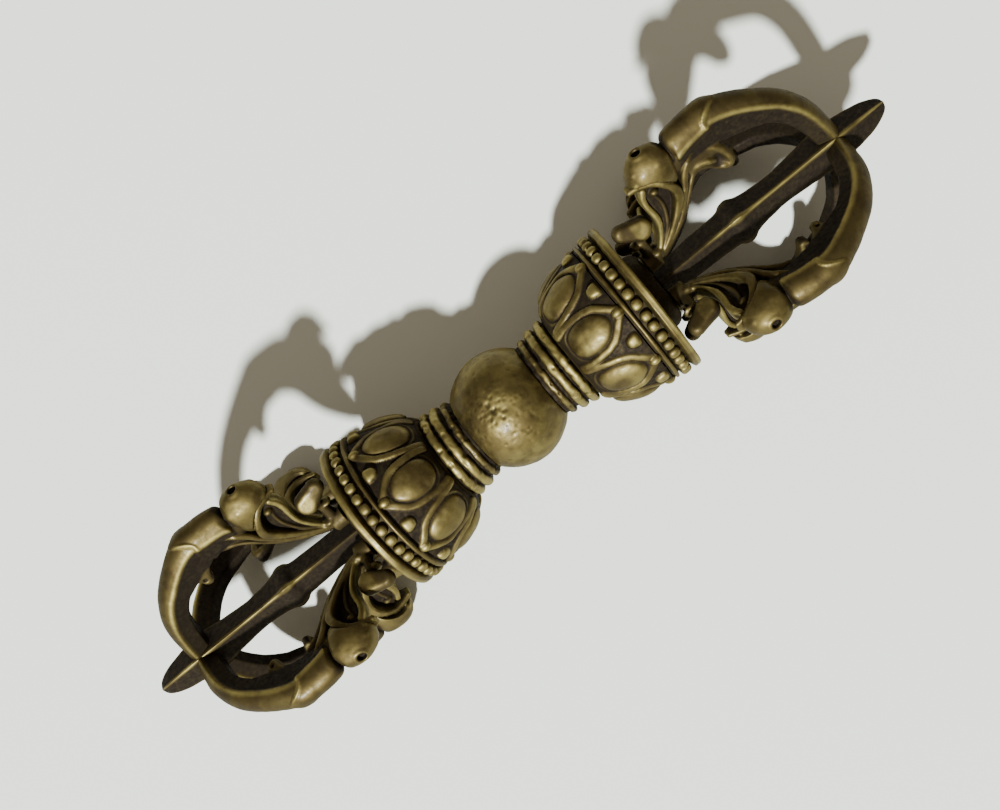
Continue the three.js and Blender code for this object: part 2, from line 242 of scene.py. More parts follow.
def smooth_curve(points, steps=8):
    """A Catmull-Rom curve through the points, as many of them as steps says between each two."""
    points = np.array(points, float)
    ends = [2 * points[0] - points[1], *points, 2 * points[-1] - points[-2]]
    curve = []
    for a, b, c, d in zip(ends, ends[1:], ends[2:], ends[3:]):
        for t in np.arange(steps) / steps:
            curve.append(b + 0.5 * t * (c - a + t * (2 * a - 5 * b + 4 * c - d + t * (3 * (b - c) + d - a))))
    curve.append(points[-1])
    return np.array(curve)


def smooth_min(a, b, blend):
    share = np.clip(0.5 + 0.5 * (b - a) / blend, 0, 1)
    return b + (a - b) * share - blend * share * (1 - share)


def smooth_max(a, b, blend):
    return -smooth_min(-a, -b, blend)


def smooth_step(low, high, value):
    share = np.clip((value - low) / (high - low), 0, 1)
    return share * share * (3 - 2 * share)


NOISE_CELLS = 32


def between(field, cell, share):
    """The values of a 3-D field, share of the way from each cell to the next."""
    total = 0
    for corner in np.ndindex(2, 2, 2):
        index = (cell + corner) % field.shape
        weight = np.prod(np.where(np.array(corner) == 1, share, 1 - share), axis=-1)
        total = total + weight * field[index[..., 0], index[..., 1], index[..., 2]]
    return total


class Noise:
    """Smooth noise from -1 to 1 at points in millimetres, with lumps of the given size."""

    def __init__(self, seed):
        self.table = np.random.default_rng(seed).random((NOISE_CELLS,) * 3) * 2 - 1

    def at(self, points, size):
        scaled = points / size
        cell = np.floor(scaled).astype(int)
        share = scaled - cell
        return between(self.table, cell, share * share * (3 - 2 * share))

    def layered(self, points, layers):
        """The sum of some layers of noise, each given by its height and its lumps' size."""
        return sum(height * self.at(points, size) for height, size in layers)


# Meshes

def placed(points, end, turn=0.0):
    """Turns points about the long axis, sets them at their end and lifts them to the axis."""
    x, y, z = points[:, 0], points[:, 1], points[:, 2]
    cosine, sine = math.cos(turn), math.sin(turn)
    y, z = y * cosine - z * sine, y * sine + z * cosine
    return np.stack([x * end, y * end, z + AXIS_HEIGHT], axis=1)


def grid_faces(rows, columns, closed):
    """Quads of a grid that closes round its columns, and round its rows too where closed."""
    row = np.arange(rows if closed else rows - 1)[:, None]
    column = np.arange(columns)[None, :]
    here, after = row * columns, (row + 1) % rows * columns
    beside = (column + 1) % columns
    corners = [here + column, after + column, after + beside, here + beside]
    return np.stack(np.broadcast_arrays(*corners), axis=-1).reshape(-1, 4)


def outward(points, faces):
    """The faces, turned over if they look inwards. A triangle is a quad with its last corner doubled."""
    a, b, c, d = (points[faces[:, i]] for i in range(4))
    volume = np.sum(a * np.cross(b, c)) + np.sum(a * np.cross(c, d))
    return faces if volume > 0 else faces[:, [1, 0, 3, 2]]


def make_mesh(name, points, faces, wear_and_highlight, patina_and_shade):
    mesh = bpy.data.meshes.new(name)
    triangle = faces[:, 2] == faces[:, 3]
    sizes = np.where(triangle, 3, 4)
    corners = faces.ravel()[np.stack([np.ones_like(triangle)] * 3 + [~triangle], axis=1).ravel()]
    mesh.vertices.add(len(points))
    mesh.vertices.foreach_set("co", (points * MM).astype(np.float32).ravel())
    mesh.loops.add(len(corners))
    mesh.loops.foreach_set("vertex_index", corners.astype(np.int32))
    mesh.polygons.add(len(faces))
    mesh.polygons.foreach_set("loop_start", np.concatenate([[0], np.cumsum(sizes)[:-1]]).astype(np.int32))
    mesh.update(calc_edges=True)
    mesh.shade_smooth()
    # Attributes for wear with painted highlights, and for patina with painted shade
    for title, values in (("wear_and_highlight", wear_and_highlight), ("patina_and_shade", patina_and_shade)):
        layer = mesh.attributes.new(title, "FLOAT", "POINT")
        layer.data.foreach_set("value", np.broadcast_to(values, len(points)).astype(np.float32))
    return mesh


def add_piece(name, node, points, faces, wear_and_highlight, patina_and_shade):
    mesh = make_mesh(name, points, outward(points, faces), wear_and_highlight, patina_and_shade)
    mesh.materials.append(brass)
    piece = add_object(name, mesh)
    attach(piece, "root")
    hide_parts(node)


# Turned pieces: a closed profile carried round the axis, with relief on its outer side

def dense_profile(points, step):
    """A closed [x, r] profile with points no further apart than step."""
    dense = []
    for a, b in zip(points, points[1:] + points[:1]):
        a, b = np.array(a, float), np.array(b, float)
        count = max(1, math.ceil(np.hypot(*(b - a)) / step))
        for i in range(count):
            dense.append(a + (b - a) * i / count)
    return np.array(dense)


def profile_normals(profile):
    along = np.roll(profile, -1, axis=0) - np.roll(profile, 1, axis=0)
    along /= np.maximum(np.hypot(along[:, 0], along[:, 1]), 1e-9)[:, None]
    return np.stack([-along[:, 1], along[:, 0]], axis=1)


def turned_grid(profile, columns, relief):
    """Points of a profile carried round the axis, moved out by relief, which is rows by columns."""
    normals = profile_normals(profile)
    angles = 2 * np.pi * np.arange(columns) / columns
    x = profile[:, :1] + normals[:, :1] * relief
    radius = profile[:, 1:] + normals[:, 1:] * relief
    grid = np.stack([x + 0 * angles, radius * np.sin(angles), radius * np.cos(angles)], axis=-1)
    return grid.reshape(-1, 3)


def bare_grid(profile, columns):
    return turned_grid(profile, columns, np.zeros((len(profile), columns)))


def roughened(profile, columns, outer, roughness):
    """A turned grid with the rows named by outer moved out by roughness, a function of its points."""
    relief = roughness(bare_grid(profile, columns)).reshape(len(profile), columns)
    return turned_grid(profile, columns, relief * outer[:, None])


def blurred(field, reach):
    """A rows by columns field, averaged over reach each way; columns go round."""
    total = np.zeros_like(field)
    for shift in range(-reach, reach + 1):
        total += np.roll(field, shift, axis=1)
    field = total / (2 * reach + 1)
    padded = np.pad(field, ((reach, reach), (0, 0)), mode="edge")
    return sum(padded[i:i + len(field)] for i in range(2 * reach + 1)) / (2 * reach + 1)


def relief_wear(relief, reach, gain):
    """How worn and how sheltered each point of a relief is, from its height over what surrounds it."""
    above = (relief - blurred(blurred(relief, reach), reach)) * gain
    return np.clip(above, 0, 1), np.clip(-above, 0, 1)


# The ball. Layers of noise are pairs of height and size.

BALL_RADIUS = 9.2
BALL_HALF_LENGTH = 8.65
BALL_FACE = 6.35
BORE_RADIUS = 2.2
BALL_COLUMNS = 288
BALL_ROWS = 72
FACE_STEP = 1.2
EDGE_CARE = 0.01
BALL_SEED = 11
BALL_LUMPS = [(0.08, 4.5), (0.04, 1.7), (0.02, 0.6)]
BALL_PITS = 520
PIT_REACHES = (0.12, 0.3)
PIT_DEPTHS = (0.04, 0.12)
# A patch of deeper pits: distance along X, angle, spread and how many
PIT_PATCH = (-1.2, -0.1, 1.5, 45)
PATCH_REACHES = (0.12, 0.26)
PATCH_DEPTHS = (0.06, 0.14)
# Dents: distance along X, angle about the axis from the top towards -Y, reach and depth
DENTS = [(-1.5, -0.12, 1.5, 0.32), (3.5, -0.16, 1.3, 0.14), (0.6, 0.02, 1.0, 0.2)]
BALL_WEAR_REACH = 3
BALL_WEAR_GAIN = 5.0
BALL_RIDGE_WEAR = 0.5
BALL_WEAR = 0.16
BALL_WEAR_LAYERS = [(0.25, 4.0), (0.2, 1.3)]
BALL_SHELTER = 0.8


def pit(points, place, reach, depth):
    return depth * np.exp(-np.sum((points - place) ** 2, axis=1) / reach ** 2)


def on_ball(x, angle):
    ring = math.sqrt(BALL_RADIUS ** 2 - x ** 2)
    return np.array([x, -ring * math.sin(angle), ring * math.cos(angle)])


def ball_relief(points):
    """Lumps with small pits all over, a patch of deeper ones, and a few dents."""
    relief = Noise(BALL_SEED).layered(points, BALL_LUMPS)
    chance = np.random.default_rng(BALL_SEED + 1)
    for _ in range(BALL_PITS):
        place = chance.normal(size=3)
        place *= BALL_RADIUS / np.linalg.norm(place)
        relief -= pit(points, place, chance.uniform(*PIT_REACHES), chance.uniform(*PIT_DEPTHS))
    middle, side, spread, count = PIT_PATCH
    for _ in range(count):
        x = middle + chance.normal() * spread
        place = on_ball(x, side + chance.normal() * spread / BALL_RADIUS)
        relief -= pit(points, place, chance.uniform(*PATCH_REACHES), chance.uniform(*PATCH_DEPTHS))
    for x, angle, reach, depth in DENTS:
        relief -= pit(points, on_ball(x, angle), reach, depth)
    return relief


def add_ball():
    turn = math.asin(BALL_FACE / BALL_HALF_LENGTH)
    turns = np.linspace(-turn, turn, BALL_ROWS)
    arc = [(BALL_HALF_LENGTH * math.sin(t), BALL_RADIUS * math.cos(t)) for t in turns]
    profile = dense_profile([(-BALL_FACE, BORE_RADIUS)] + arc + [(BALL_FACE, BORE_RADIUS)], FACE_STEP)
    outer = profile[:, 1:] > BALL_RADIUS * math.cos(turn) - EDGE_CARE
    relief = ball_relief(bare_grid(profile, BALL_COLUMNS)).reshape(len(profile), BALL_COLUMNS) * outer
    wear_and_highlight, patina_and_shade = relief_wear(relief, BALL_WEAR_REACH, BALL_WEAR_GAIN)
    points = turned_grid(profile, BALL_COLUMNS, relief)
    patches = BALL_WEAR
    for seed, (share, size) in enumerate(BALL_WEAR_LAYERS, BALL_SEED + 2):
        patches = patches + share * Noise(seed).at(points, size)
    wear_and_highlight = np.clip(wear_and_highlight.ravel() * BALL_RIDGE_WEAR + patches, 0, 1)
    faces = grid_faces(len(profile), BALL_COLUMNS, True)
    add_piece("ball", "hub_ball", placed(points, 1), faces, wear_and_highlight, patina_and_shade.ravel() * BALL_SHELTER)


# The ringed collars

COLLAR_START = 6.4
COLLAR_END = 11.9
COLLAR_RADIUS = 6.25
COLLAR_FLARE = 0.12
# Rings: centre, half width and height
RINGS = [(7.45, 0.55, 0.55), (9.2, 0.75, 0.8), (11.0, 0.75, 0.8)]
RING_POWER = 0.8
RING_SINK = 0.15
COLLAR_COLUMNS = 256
COLLAR_ROWS = 60
COLLAR_SEED = 21
COLLAR_LUMPS = [(0.1, 1.6), (0.08, 0.75)]
# Nicks: depth, where the noise starts and ends them, its shift and its size
NICKS = (0.16, 0.25, 0.7, 40, 0.85)
COLLAR_OUTER = COLLAR_RADIUS - 0.3
COLLAR_WEAR = 0.8
COLLAR_WORN = (0.25, 0.65)
COLLAR_SHELTERED = (-0.15, 0.4)


def collar_profile():
    top = []
    for x in np.linspace(COLLAR_START, COLLAR_END, COLLAR_ROWS):
        height = max(h * math.sqrt(max(0.0, 1 - ((x - c) / w) ** 2)) ** RING_POWER for c, w, h in RINGS)
        top.append((x, COLLAR_RADIUS + COLLAR_FLARE * (x - COLLAR_START) + height - RING_SINK))
    return dense_profile([(COLLAR_START, BORE_RADIUS)] + top + [(COLLAR_END, BORE_RADIUS)], FACE_STEP)


def collar(end):
    noise = Noise(COLLAR_SEED + end)
    depth, low, high, shift, size = NICKS

    def roughness(points):
        lumps = noise.layered(points, COLLAR_LUMPS)
        return lumps - depth * smooth_step(low, high, noise.at(points + shift, size))

    profile = collar_profile()
    points = roughened(profile, COLLAR_COLUMNS, profile[:, 1] > COLLAR_OUTER, roughness)
    radius = np.hypot(points[:, 1], points[:, 2])
    height = radius - COLLAR_RADIUS - COLLAR_FLARE * (points[:, 0] - COLLAR_START)
    wear_and_highlight = COLLAR_WEAR * smooth_step(*COLLAR_WORN, height)
    patina_and_shade = 1 - smooth_step(*COLLAR_SHELTERED, height)
    return points, grid_faces(len(profile), COLLAR_COLUMNS, True), wear_and_highlight, patina_and_shade


# The lotus cups

CUP_START = 11.95
CUP_END = 21.92
CUP_FOOT_RADIUS = 6.8
CUP_MOUTH_RADIUS = 11.95
CUP_FULLNESS = 1.45
PETALS = 8
PETAL_COLUMNS = 62
CUP_ROWS = 92
ROWS_TO_FOOT = 1.25
MOUTH_STEP = 2.0
GROUND_DEPTH = 0.2
OUTLINE_WIDTH = 0.62
OUTLINE_HEIGHT = 0.44
OUTLINE_POWER = 2.4
# Distance along X and half angle in degrees of the line that runs round each petal
OUTLINE = [
    (12.4, 20.6), (14.0, 20.0), (15.7, 18.4), (17.2, 17.0),
    (18.7, 14.0), (19.8, 9.2), (21.0, 3.6), (21.9, 0.6),
]
BOSS_CENTRE = 16.2
BOSS_HALF_LENGTH = 3.75
BOSS_HALF_WIDTH = 2.75
BOSS_HEIGHT = 0.85
BOSS_TAPER = 0.22
BOSS_POWER = 2.3
BOSS_DOME = (2.6, 0.6)
SEAM_HEIGHT = 0.14
SEAM_PLACE = 1.13
SEAM_WIDTH = 0.055
TIP_CENTRE = 21.25
TIP_HEIGHT = 0.8
TIP_HALVES = (0.95, 0.7)
BUD_CENTRE = 20.55
BUD_HALF = 1.1
BUD_TAPER = 0.25
BUD_HEIGHT = 0.75
BUD_DOME = (3, 0.6)
CUP_SEED = 31
# How much of an outline is left: middle, swing, the noise's size, least and most
THINNING = (0.85, 0.45, 2.4, 0.35, 1.0)
CUP_WEAR_REACH = 5
CUP_WEAR_GAIN = 2.4
CUP_LUMPS = [(0.08, 2.6), (0.045, 0.9)]
GROUND_HEIGHTS = (0.0, 0.3)
GROUND_SHELTER = (1.2, 0.75)
RAISED_HEIGHTS = (0.3, 0.8)
RAISED_WEAR = (0.9, 0.1)
LUMP_WEAR = 2.5


def bowl_radius(x):
    share = np.clip((x - CUP_START) / (CUP_END - CUP_START), 0, 1)
    return CUP_FOOT_RADIUS + (CUP_MOUTH_RADIUS - CUP_FOOT_RADIUS) * np.sqrt(1 - (1 - share) ** CUP_FULLNESS)


def path_distance(path, across, along):
    """How far each point of a flat field is from a path of [across, along] points."""
    best = np.full(np.broadcast(across, along).shape, np.inf)
    for (a0, b0), (a1, b1) in zip(path, path[1:]):
        da, db = a1 - a0, b1 - b0
        share = np.clip(((across - a0) * da + (along - b0) * db) / (da * da + db * db), 0, 1)
        best = np.minimum(best, np.hypot(across - a0 - share * da, along - b0 - share * db))
    return best


def petal_relief(x, length, turn, thinning):
    """The relief at rows x (with their length along the bowl) and angles from a petal's middle.
    thinning says how much of each outline is left from wear."""
    def length_at(place):
        return np.interp(place, x.ravel(), length.ravel())

    radius = bowl_radius(x)
    across = radius * turn
    far_side = radius * (2 * math.pi / PETALS - turn)
    line = smooth_curve([(bowl_radius(p) * math.radians(a), length_at(p)) for p, a in OUTLINE], 5)
    distance = np.minimum(path_distance(line, across, length), path_distance(line, far_side, length))
    round_wire = np.sqrt(np.clip(1 - (distance / OUTLINE_WIDTH) ** OUTLINE_POWER, 0, 1))
    outline = OUTLINE_HEIGHT * thinning * round_wire

    towards_tip = (length - length_at(BOSS_CENTRE)) / BOSS_HALF_LENGTH
    width = BOSS_HALF_WIDTH * (1 - BOSS_TAPER * np.clip(towards_tip, 0, 1) ** 2)
    outwards = np.abs(towards_tip) ** BOSS_POWER + (across / width) ** BOSS_POWER
    outwards = outwards ** (1 / BOSS_POWER)
    boss = BOSS_HEIGHT * np.clip(1 - outwards ** BOSS_DOME[0], 0, 1) ** BOSS_DOME[1]
    seam = SEAM_HEIGHT * np.exp(-((outwards - SEAM_PLACE) / SEAM_WIDTH) ** 2)

    half_length, half_width = TIP_HALVES
    from_tip = (length - length_at(TIP_CENTRE)) / half_length
    tip = TIP_HEIGHT * np.sqrt(np.clip(1 - from_tip ** 2 - (across / half_width) ** 2, 0, 1))

    from_bud = (length - length_at(BUD_CENTRE)) / BUD_HALF
    beside_bud = radius * (math.pi / PETALS - turn)
    beside_bud /= BUD_HALF * (1 + BUD_TAPER * np.clip(from_bud, -1, 1))
    knob = np.clip(1 - np.abs(beside_bud) ** BUD_DOME[0] - np.abs(from_bud) ** BUD_DOME[0], 0, 1)
    bud = BUD_HEIGHT * knob ** BUD_DOME[1]
    return np.max([outline, boss, tip, bud, seam], axis=0) - GROUND_DEPTH


def cup_profile():
    """The cup's profile, and the rows of it that make its outer side."""
    xs = CUP_START + (CUP_END - CUP_START) * np.linspace(0, 1, CUP_ROWS) ** ROWS_TO_FOOT
    outer = [(x, float(bowl_radius(x))) for x in xs]
    first = math.ceil((CUP_FOOT_RADIUS - BORE_RADIUS) / MOUTH_STEP)
    profile = dense_profile([(CUP_START, BORE_RADIUS)] + outer + [(CUP_END, BORE_RADIUS)], MOUTH_STEP)
    return profile, slice(first, first + CUP_ROWS)


def cup(end):
    profile, rows = cup_profile()
    x = profile[rows, :1]
    steps = np.hypot(*np.diff(profile[rows], axis=0).T)
    length = np.concatenate([[0], np.cumsum(steps)])[:, None]
    columns = PETALS * PETAL_COLUMNS
    angles = 2 * np.pi * np.arange(columns) / columns
    turn = np.abs((angles + math.pi / PETALS) % (2 * math.pi / PETALS) - math.pi / PETALS)[None, :]
    relief = np.zeros((len(profile), columns))
    noise = Noise(CUP_SEED + end)
    middle, swing, size, least, most = THINNING
    thinning = np.clip(middle + swing * noise.at(bare_grid(profile, columns), size), least, most)
    relief[rows] = petal_relief(x, length, turn, thinning.reshape(relief.shape)[rows])
    relief[rows.start] = 0
    relief[rows.start + 1] *= 0.5
    wear_and_highlight, patina_and_shade = relief_wear(relief, CUP_WEAR_REACH, CUP_WEAR_GAIN)
    lumps = noise.layered(turned_grid(profile, columns, relief), CUP_LUMPS).reshape(relief.shape)
    relief[rows] += lumps[rows]
    points = turned_grid(profile, columns, relief)
    height = relief + GROUND_DEPTH
    creases, ground = GROUND_SHELTER
    patina_and_shade = np.clip(creases * patina_and_shade + ground * (1 - smooth_step(*GROUND_HEIGHTS, height)), 0, 1)
    edges, raised = RAISED_WEAR
    wear_and_highlight = edges * wear_and_highlight + raised * smooth_step(*RAISED_HEIGHTS, height) + LUMP_WEAR * lumps
    patina_and_shade[:rows.start] = 1
    patina_and_shade[rows.stop:] = 1
    return points, grid_faces(len(profile), columns, True), np.clip(wear_and_highlight, 0, 1).ravel(), patina_and_shade.ravel()


# The rims: a band with a wire, a channel of beads and a lip

RIM_START = 21.97
RIM_END = 26.5
RIM_BORE_RADIUS = 11.1
RIM_ROWS = 56
RIM_COLUMNS = 320
RIM_STEP = 0.6
WIRE_CENTRE = 22.5
WIRE_RADIUS = 0.36
WIRE_SEAT = 12.02
CHANNEL_RADIUS = 11.7
LIP_RADIUS = 12.7
# The lip falls away before and after these places: place, depth and power
LIP_BEFORE = (25.55, 2.2, 1.3)
LIP_AFTER = (26.15, 0.9, 1.6)
BEADS = 40
BEAD_CENTRE = 24.0
BEAD_RADIUS = 0.87
BEAD_RING_RADIUS = 11.92
BEAD_POWER = 2.7
BEAD_AROUND = 18
BEAD_DOWN = 11
BEAD_POLE = 0.02
BEAD_GROWTHS = (-0.08, 0.03)
BEAD_TURNS = (-0.04, 0.04)
BEAD_SHIFTS = (-0.07, 0.07)
BEAD_WEARS = (0.35, 0.6)
BEAD_WORN = (12.2, 12.5)
BEAD_SHELTERED = (11.9, 12.3)
RIM_SEED = 41
BEAD_SEED = 51
RIM_LUMPS = [(0.05, 1.4), (0.06, 3.5)]
RIM_WORN = (12.1, 12.5)
RIM_SHELTERED = (11.75, 12.15)
RIM_SHELTER = 0.85
# The lip's bright edge: place and reach, then the wear beside it and on it
EDGE = (26.15, 0.28)
EDGE_WEAR = (0.12, 0.7)


def rim_profile():
    band = []
    for x in np.linspace(RIM_START, RIM_END, RIM_ROWS):
        wire = 0.0
        if abs(x - WIRE_CENTRE) <= WIRE_RADIUS:
            wire = WIRE_SEAT + WIRE_RADIUS * math.sqrt(1 - ((x - WIRE_CENTRE) / WIRE_RADIUS) ** 2)
        place, depth, power = LIP_BEFORE
        lip = LIP_RADIUS - depth * max(0.0, place - x) ** power
        place, depth, power = LIP_AFTER
        lip -= depth * max(0.0, x - place) ** power
        band.append((x, max(CHANNEL_RADIUS, wire, lip)))
    return dense_profile([(RIM_START, RIM_BORE_RADIUS)] + band + [(RIM_END, RIM_BORE_RADIUS)], RIM_STEP)


def bead_points(chance):
    """A slightly uneven round bead, as points about its own centre."""
    points = []
    for i in range(BEAD_DOWN + 1):
        tilt = math.pi * min(max(i / BEAD_DOWN, BEAD_POLE), 1 - BEAD_POLE)
        for j in range(BEAD_AROUND):
            angle = 2 * math.pi * j / BEAD_AROUND
            out = math.sin(tilt)
            points.append((out * math.cos(angle), out * math.sin(angle), math.cos(tilt)))
    points = np.array(points)
    points /= (np.sum(np.abs(points) ** BEAD_POWER, axis=1) ** (1 / BEAD_POWER))[:, None]
    return points * BEAD_RADIUS * (1 + chance.uniform(*BEAD_GROWTHS, 3))


def bead_faces():
    caps = []
    for start in (0, BEAD_DOWN * BEAD_AROUND):
        for i in range(1, BEAD_AROUND - 1):
            ring = (start, start + i, start + i + 1)
            a, b, c = ring if start == 0 else (ring[0], ring[2], ring[1])
            caps.append((a, b, c, c))
    return np.concatenate([grid_faces(BEAD_DOWN + 1, BEAD_AROUND, False), caps])


def rim(end):
    noise = Noise(RIM_SEED + end)
    profile = rim_profile()
    outer = profile[:, 1] > CHANNEL_RADIUS - EDGE_CARE
    points = roughened(profile, RIM_COLUMNS, outer, lambda bare: noise.layered(bare, RIM_LUMPS))
    radius = np.hypot(points[:, 1], points[:, 2])
    edge = np.exp(-((points[:, 0] - EDGE[0]) / EDGE[1]) ** 2)
    wear_and_highlight = [smooth_step(*RIM_WORN, radius) * (EDGE_WEAR[0] + EDGE_WEAR[1] * edge)]
    patina_and_shade = [RIM_SHELTER * (1 - smooth_step(*RIM_SHELTERED, radius))]
    parts = [points]
    faces = [outward(points, grid_faces(len(profile), RIM_COLUMNS, True))]
    chance = np.random.default_rng(BEAD_SEED + end)
    ring = bead_faces()
    for i in range(BEADS):
        bead = bead_points(chance)
        turn = 2 * math.pi * (i + 0.5 + chance.uniform(*BEAD_TURNS)) / BEADS
        bead = bead + np.array([BEAD_CENTRE + chance.uniform(*BEAD_SHIFTS), 0, BEAD_RING_RADIUS])
        y = bead[:, 1] * math.cos(turn) - bead[:, 2] * math.sin(turn)
        z = bead[:, 1] * math.sin(turn) + bead[:, 2] * math.cos(turn)
        faces.append(outward(bead, ring) + sum(len(part) for part in parts))
        parts.append(np.stack([bead[:, 0], y, z], axis=1))
        out = np.hypot(y, z)
        wear_and_highlight.append(smooth_step(*BEAD_WORN, out) * chance.uniform(*BEAD_WEARS))
        patina_and_shade.append(RIM_SHELTER * (1 - smooth_step(*BEAD_SHELTERED, out)))
    return [np.concatenate(lists) for lists in (parts, faces, wear_and_highlight, patina_and_shade)]


# The seats: the discs in the cups' mouths, dark with patina and painted shade

SEAT_PROFILE = [
    (22.1, 2.2), (22.1, 10.8), (24.0, 10.8), (24.3, 10.6), (24.45, 10.2), (24.6, 8.4), (25.0, 7.1),
    (26.0, 6.6), (27.6, 6.4), (28.2, 6.1), (28.6, 5.5), (28.6, 2.2),
]
SEAT_STEP = 0.4
SEAT_COLUMNS = 128
SEAT_SEED = 61
SEAT_LUMPS = [(0.09, 1.8), (0.04, 0.8)]
SEAT_SMOOTH = 0.1
SEAT_PATINA_AND_SHADE = 0.8


def seat(end):
    noise = Noise(SEAT_SEED + end)
    profile = dense_profile(SEAT_PROFILE, SEAT_STEP)
    seen = np.all(profile > np.array(SEAT_PROFILE[0]) + SEAT_SMOOTH, axis=1)
    points = roughened(profile, SEAT_COLUMNS, seen, lambda bare: noise.layered(bare, SEAT_LUMPS))
    return points, grid_faces(len(profile), SEAT_COLUMNS, True), 0.0, SEAT_PATINA_AND_SHADE


# The central prongs: nearly square, with a crisp ridge on each of four sides

SPINE = [
    # distance along X, half of the diagonal
    (28.9, 2.5), (32.0, 2.6), (36.0, 2.75), (39.5, 2.85), (41.3, 2.95), (41.9, 3.1), (42.5, 3.5),
    (43.5, 3.72), (44.2, 3.55), (45.0, 3.15), (46.5, 2.8), (48.5, 2.6), (50.5, 2.5), (53.0, 2.62),
    (55.5, 2.85), (57.5, 3.1), (59.5, 3.32), (60.8, 3.3), (62.0, 3.15), (64.0, 2.85), (66.0, 2.5),
    (67.4, 2.15), (68.6, 1.65), (69.4, 1.15), (69.85, 0.6), (69.98, 0.12),
]
SPINE_COLUMNS = 120
SPINE_ROWS = 230
SPINE_SQUARENESS = 1.04
SPINE_BLUNTNESS = 0.985
SPINE_POINT = 0.02
COLUMNS_TO_RIDGES = 0.1
SPINE_SEED = 71
SPINE_LUMPS = [(0.02, 3.0), (0.012, 1.1)]
# The breaks in a ridge's painted highlight: middle, swing and the noise's size
BREAKS = (0.6, 0.8, 2.2)
UPWARD = (0.0, 0.7)
RIDGE_SHINE = (0.994, 0.9995)
RIDGE_SHADE = (0.01, 0.9985)
# The painted highlight on the knop's ridge is broader: place, reach and by how much
KNOP = (43.3, 1.0, 0.014)
OUT_OF_SEAT = (35, 42)
# The painted highlight kept on ridges that face down, the least light kept in the painted shade, how strong
# the highlight and the tip's wear are, and the tip's wear
LOW_RIDGE_HIGHLIGHT = 0.05
SHADED_SHARE = 0.3
SPINE_HIGHLIGHT_AND_WEAR = 0.9
TIP_WEAR = 0.5


def spine_half(x):
    curve = smooth_curve(SPINE, 6)
    return np.interp(x, curve[:, 0], curve[:, 1])


def spine(end):
    x = np.linspace(SPINE[0][0], SPINE[-1][0], SPINE_ROWS)[:, None]
    share = np.arange(SPINE_COLUMNS) / SPINE_COLUMNS
    quarter = 4 * share % 1
    crowded = quarter - COLUMNS_TO_RIDGES * np.sin(2 * np.pi * quarter)
    angles = (np.floor(4 * share) + crowded)[None, :] * math.pi / 2
    reaches = np.abs([np.cos(angles), np.sin(angles)])
    square = np.sum(reaches ** SPINE_SQUARENESS, axis=0) ** (-1 / SPINE_SQUARENESS)
    radius = spine_half(x) * np.minimum(square, SPINE_BLUNTNESS)
    grid = [x + 0 * radius, radius * np.sin(angles), radius * np.cos(angles)]
    points = np.stack(grid, axis=-1).reshape(-1, 3)
    noise = Noise(SPINE_SEED + end)
    points[:, 1:] *= 1 + noise.layered(points, SPINE_LUMPS)[:, None]

    middle, swing, size = BREAKS
    broken = np.clip(middle + swing * noise.at(points, size), 0, 1).reshape(radius.shape)
    upward = smooth_step(*UPWARD, points[:, 2].reshape(radius.shape) / radius)
    clear = smooth_step(*OUT_OF_SEAT, x)
    place, reach, more = KNOP
    sharp = RIDGE_SHINE[0] - more * np.exp(-((x - place) / reach) ** 2)
    ridge = np.max(reaches, axis=0)
    # The ridges get a painted highlight, most where they face up and stand clear of the seat; the flanks stay
    # dark, and ridges that face down or lie near the seat get painted shade
    wear_and_highlight = smooth_step(sharp, RIDGE_SHINE[1], ridge) * broken * (LOW_RIDGE_HIGHLIGHT + (1 - LOW_RIDGE_HIGHLIGHT) * upward) * clear
    lit = smooth_step(sharp - RIDGE_SHADE[0], RIDGE_SHADE[1], ridge)
    lit = lit * (SHADED_SHARE + (1 - SHADED_SHARE) * upward) * (SHADED_SHARE + (1 - SHADED_SHARE) * clear)

    last = len(points)
    points = np.concatenate([points, [[SPINE[0][0], 0, 0], [SPINE[-1][0] + SPINE_POINT, 0, 0]]])
    around = np.arange(SPINE_COLUMNS)
    beside = (around + 1) % SPINE_COLUMNS
    top = last - SPINE_COLUMNS
    start_cap = np.stack([around, beside, 0 * around + last, 0 * around + last], axis=1)
    end_cap = np.stack([top + beside, top + around, 0 * around + last + 1, 0 * around + last + 1], axis=1)
    faces = np.concatenate([grid_faces(SPINE_ROWS, SPINE_COLUMNS, False), start_cap, end_cap])
    wear_and_highlight = SPINE_HIGHLIGHT_AND_WEAR * np.concatenate([wear_and_highlight.ravel(), [0, TIP_WEAR]])
    patina_and_shade = np.concatenate([1 - lit.ravel(), [1, 0]])
    return points, faces, wear_and_highlight, patina_and_shade


# The makara prongs, sculpted as a field of distances in the XZ plane: r is away from the axis.
# Beside a path, pairs are the length or the share of the way along it, and the measure there.
# A strap is a path, its half widths, its half thicknesses and how round its edges are.
# An ellipsoid is a centre, its half sizes and, if it isn't plain, how square it is.

CLAY_LOW = (27.3, 0.0, 2.0)
CLAY_HIGH = (62.8, 3.9, 22.4)
CLAY_STEP = 0.15
CLAY_OUTSIDE = 5.0
HOLLOW_REACH = 10

ARM_PATH = [
    (40.2, 17.8), (42.2, 18.4), (44.9, 18.8), (47.6, 18.6), (50.5, 17.3), (53.5, 15.3), (56.0, 13.2),
    (57.9, 10.8), (59.3, 8.0), (60.2, 5.0), (60.8, 2.3), (61.0, 1.2),
]
ARM_START = 41.6
ARM_HALF_WIDTH = 2.3
ARM_BACKS = [(0, 2.5), (7, 2.35), (11, 2.0), (16, 1.8), (25, 1.75), (30, 1.5)]
ARM_KEELS = [(0, 3.4), (4, 4.4), (10, 4.5), (13, 3.9), (17, 2.8), (22, 2.4), (30, 2.2)]
ARM_KEEL_HALVES = [(0, 0.9), (12, 0.9), (18, 1.1), (30, 1.3)]
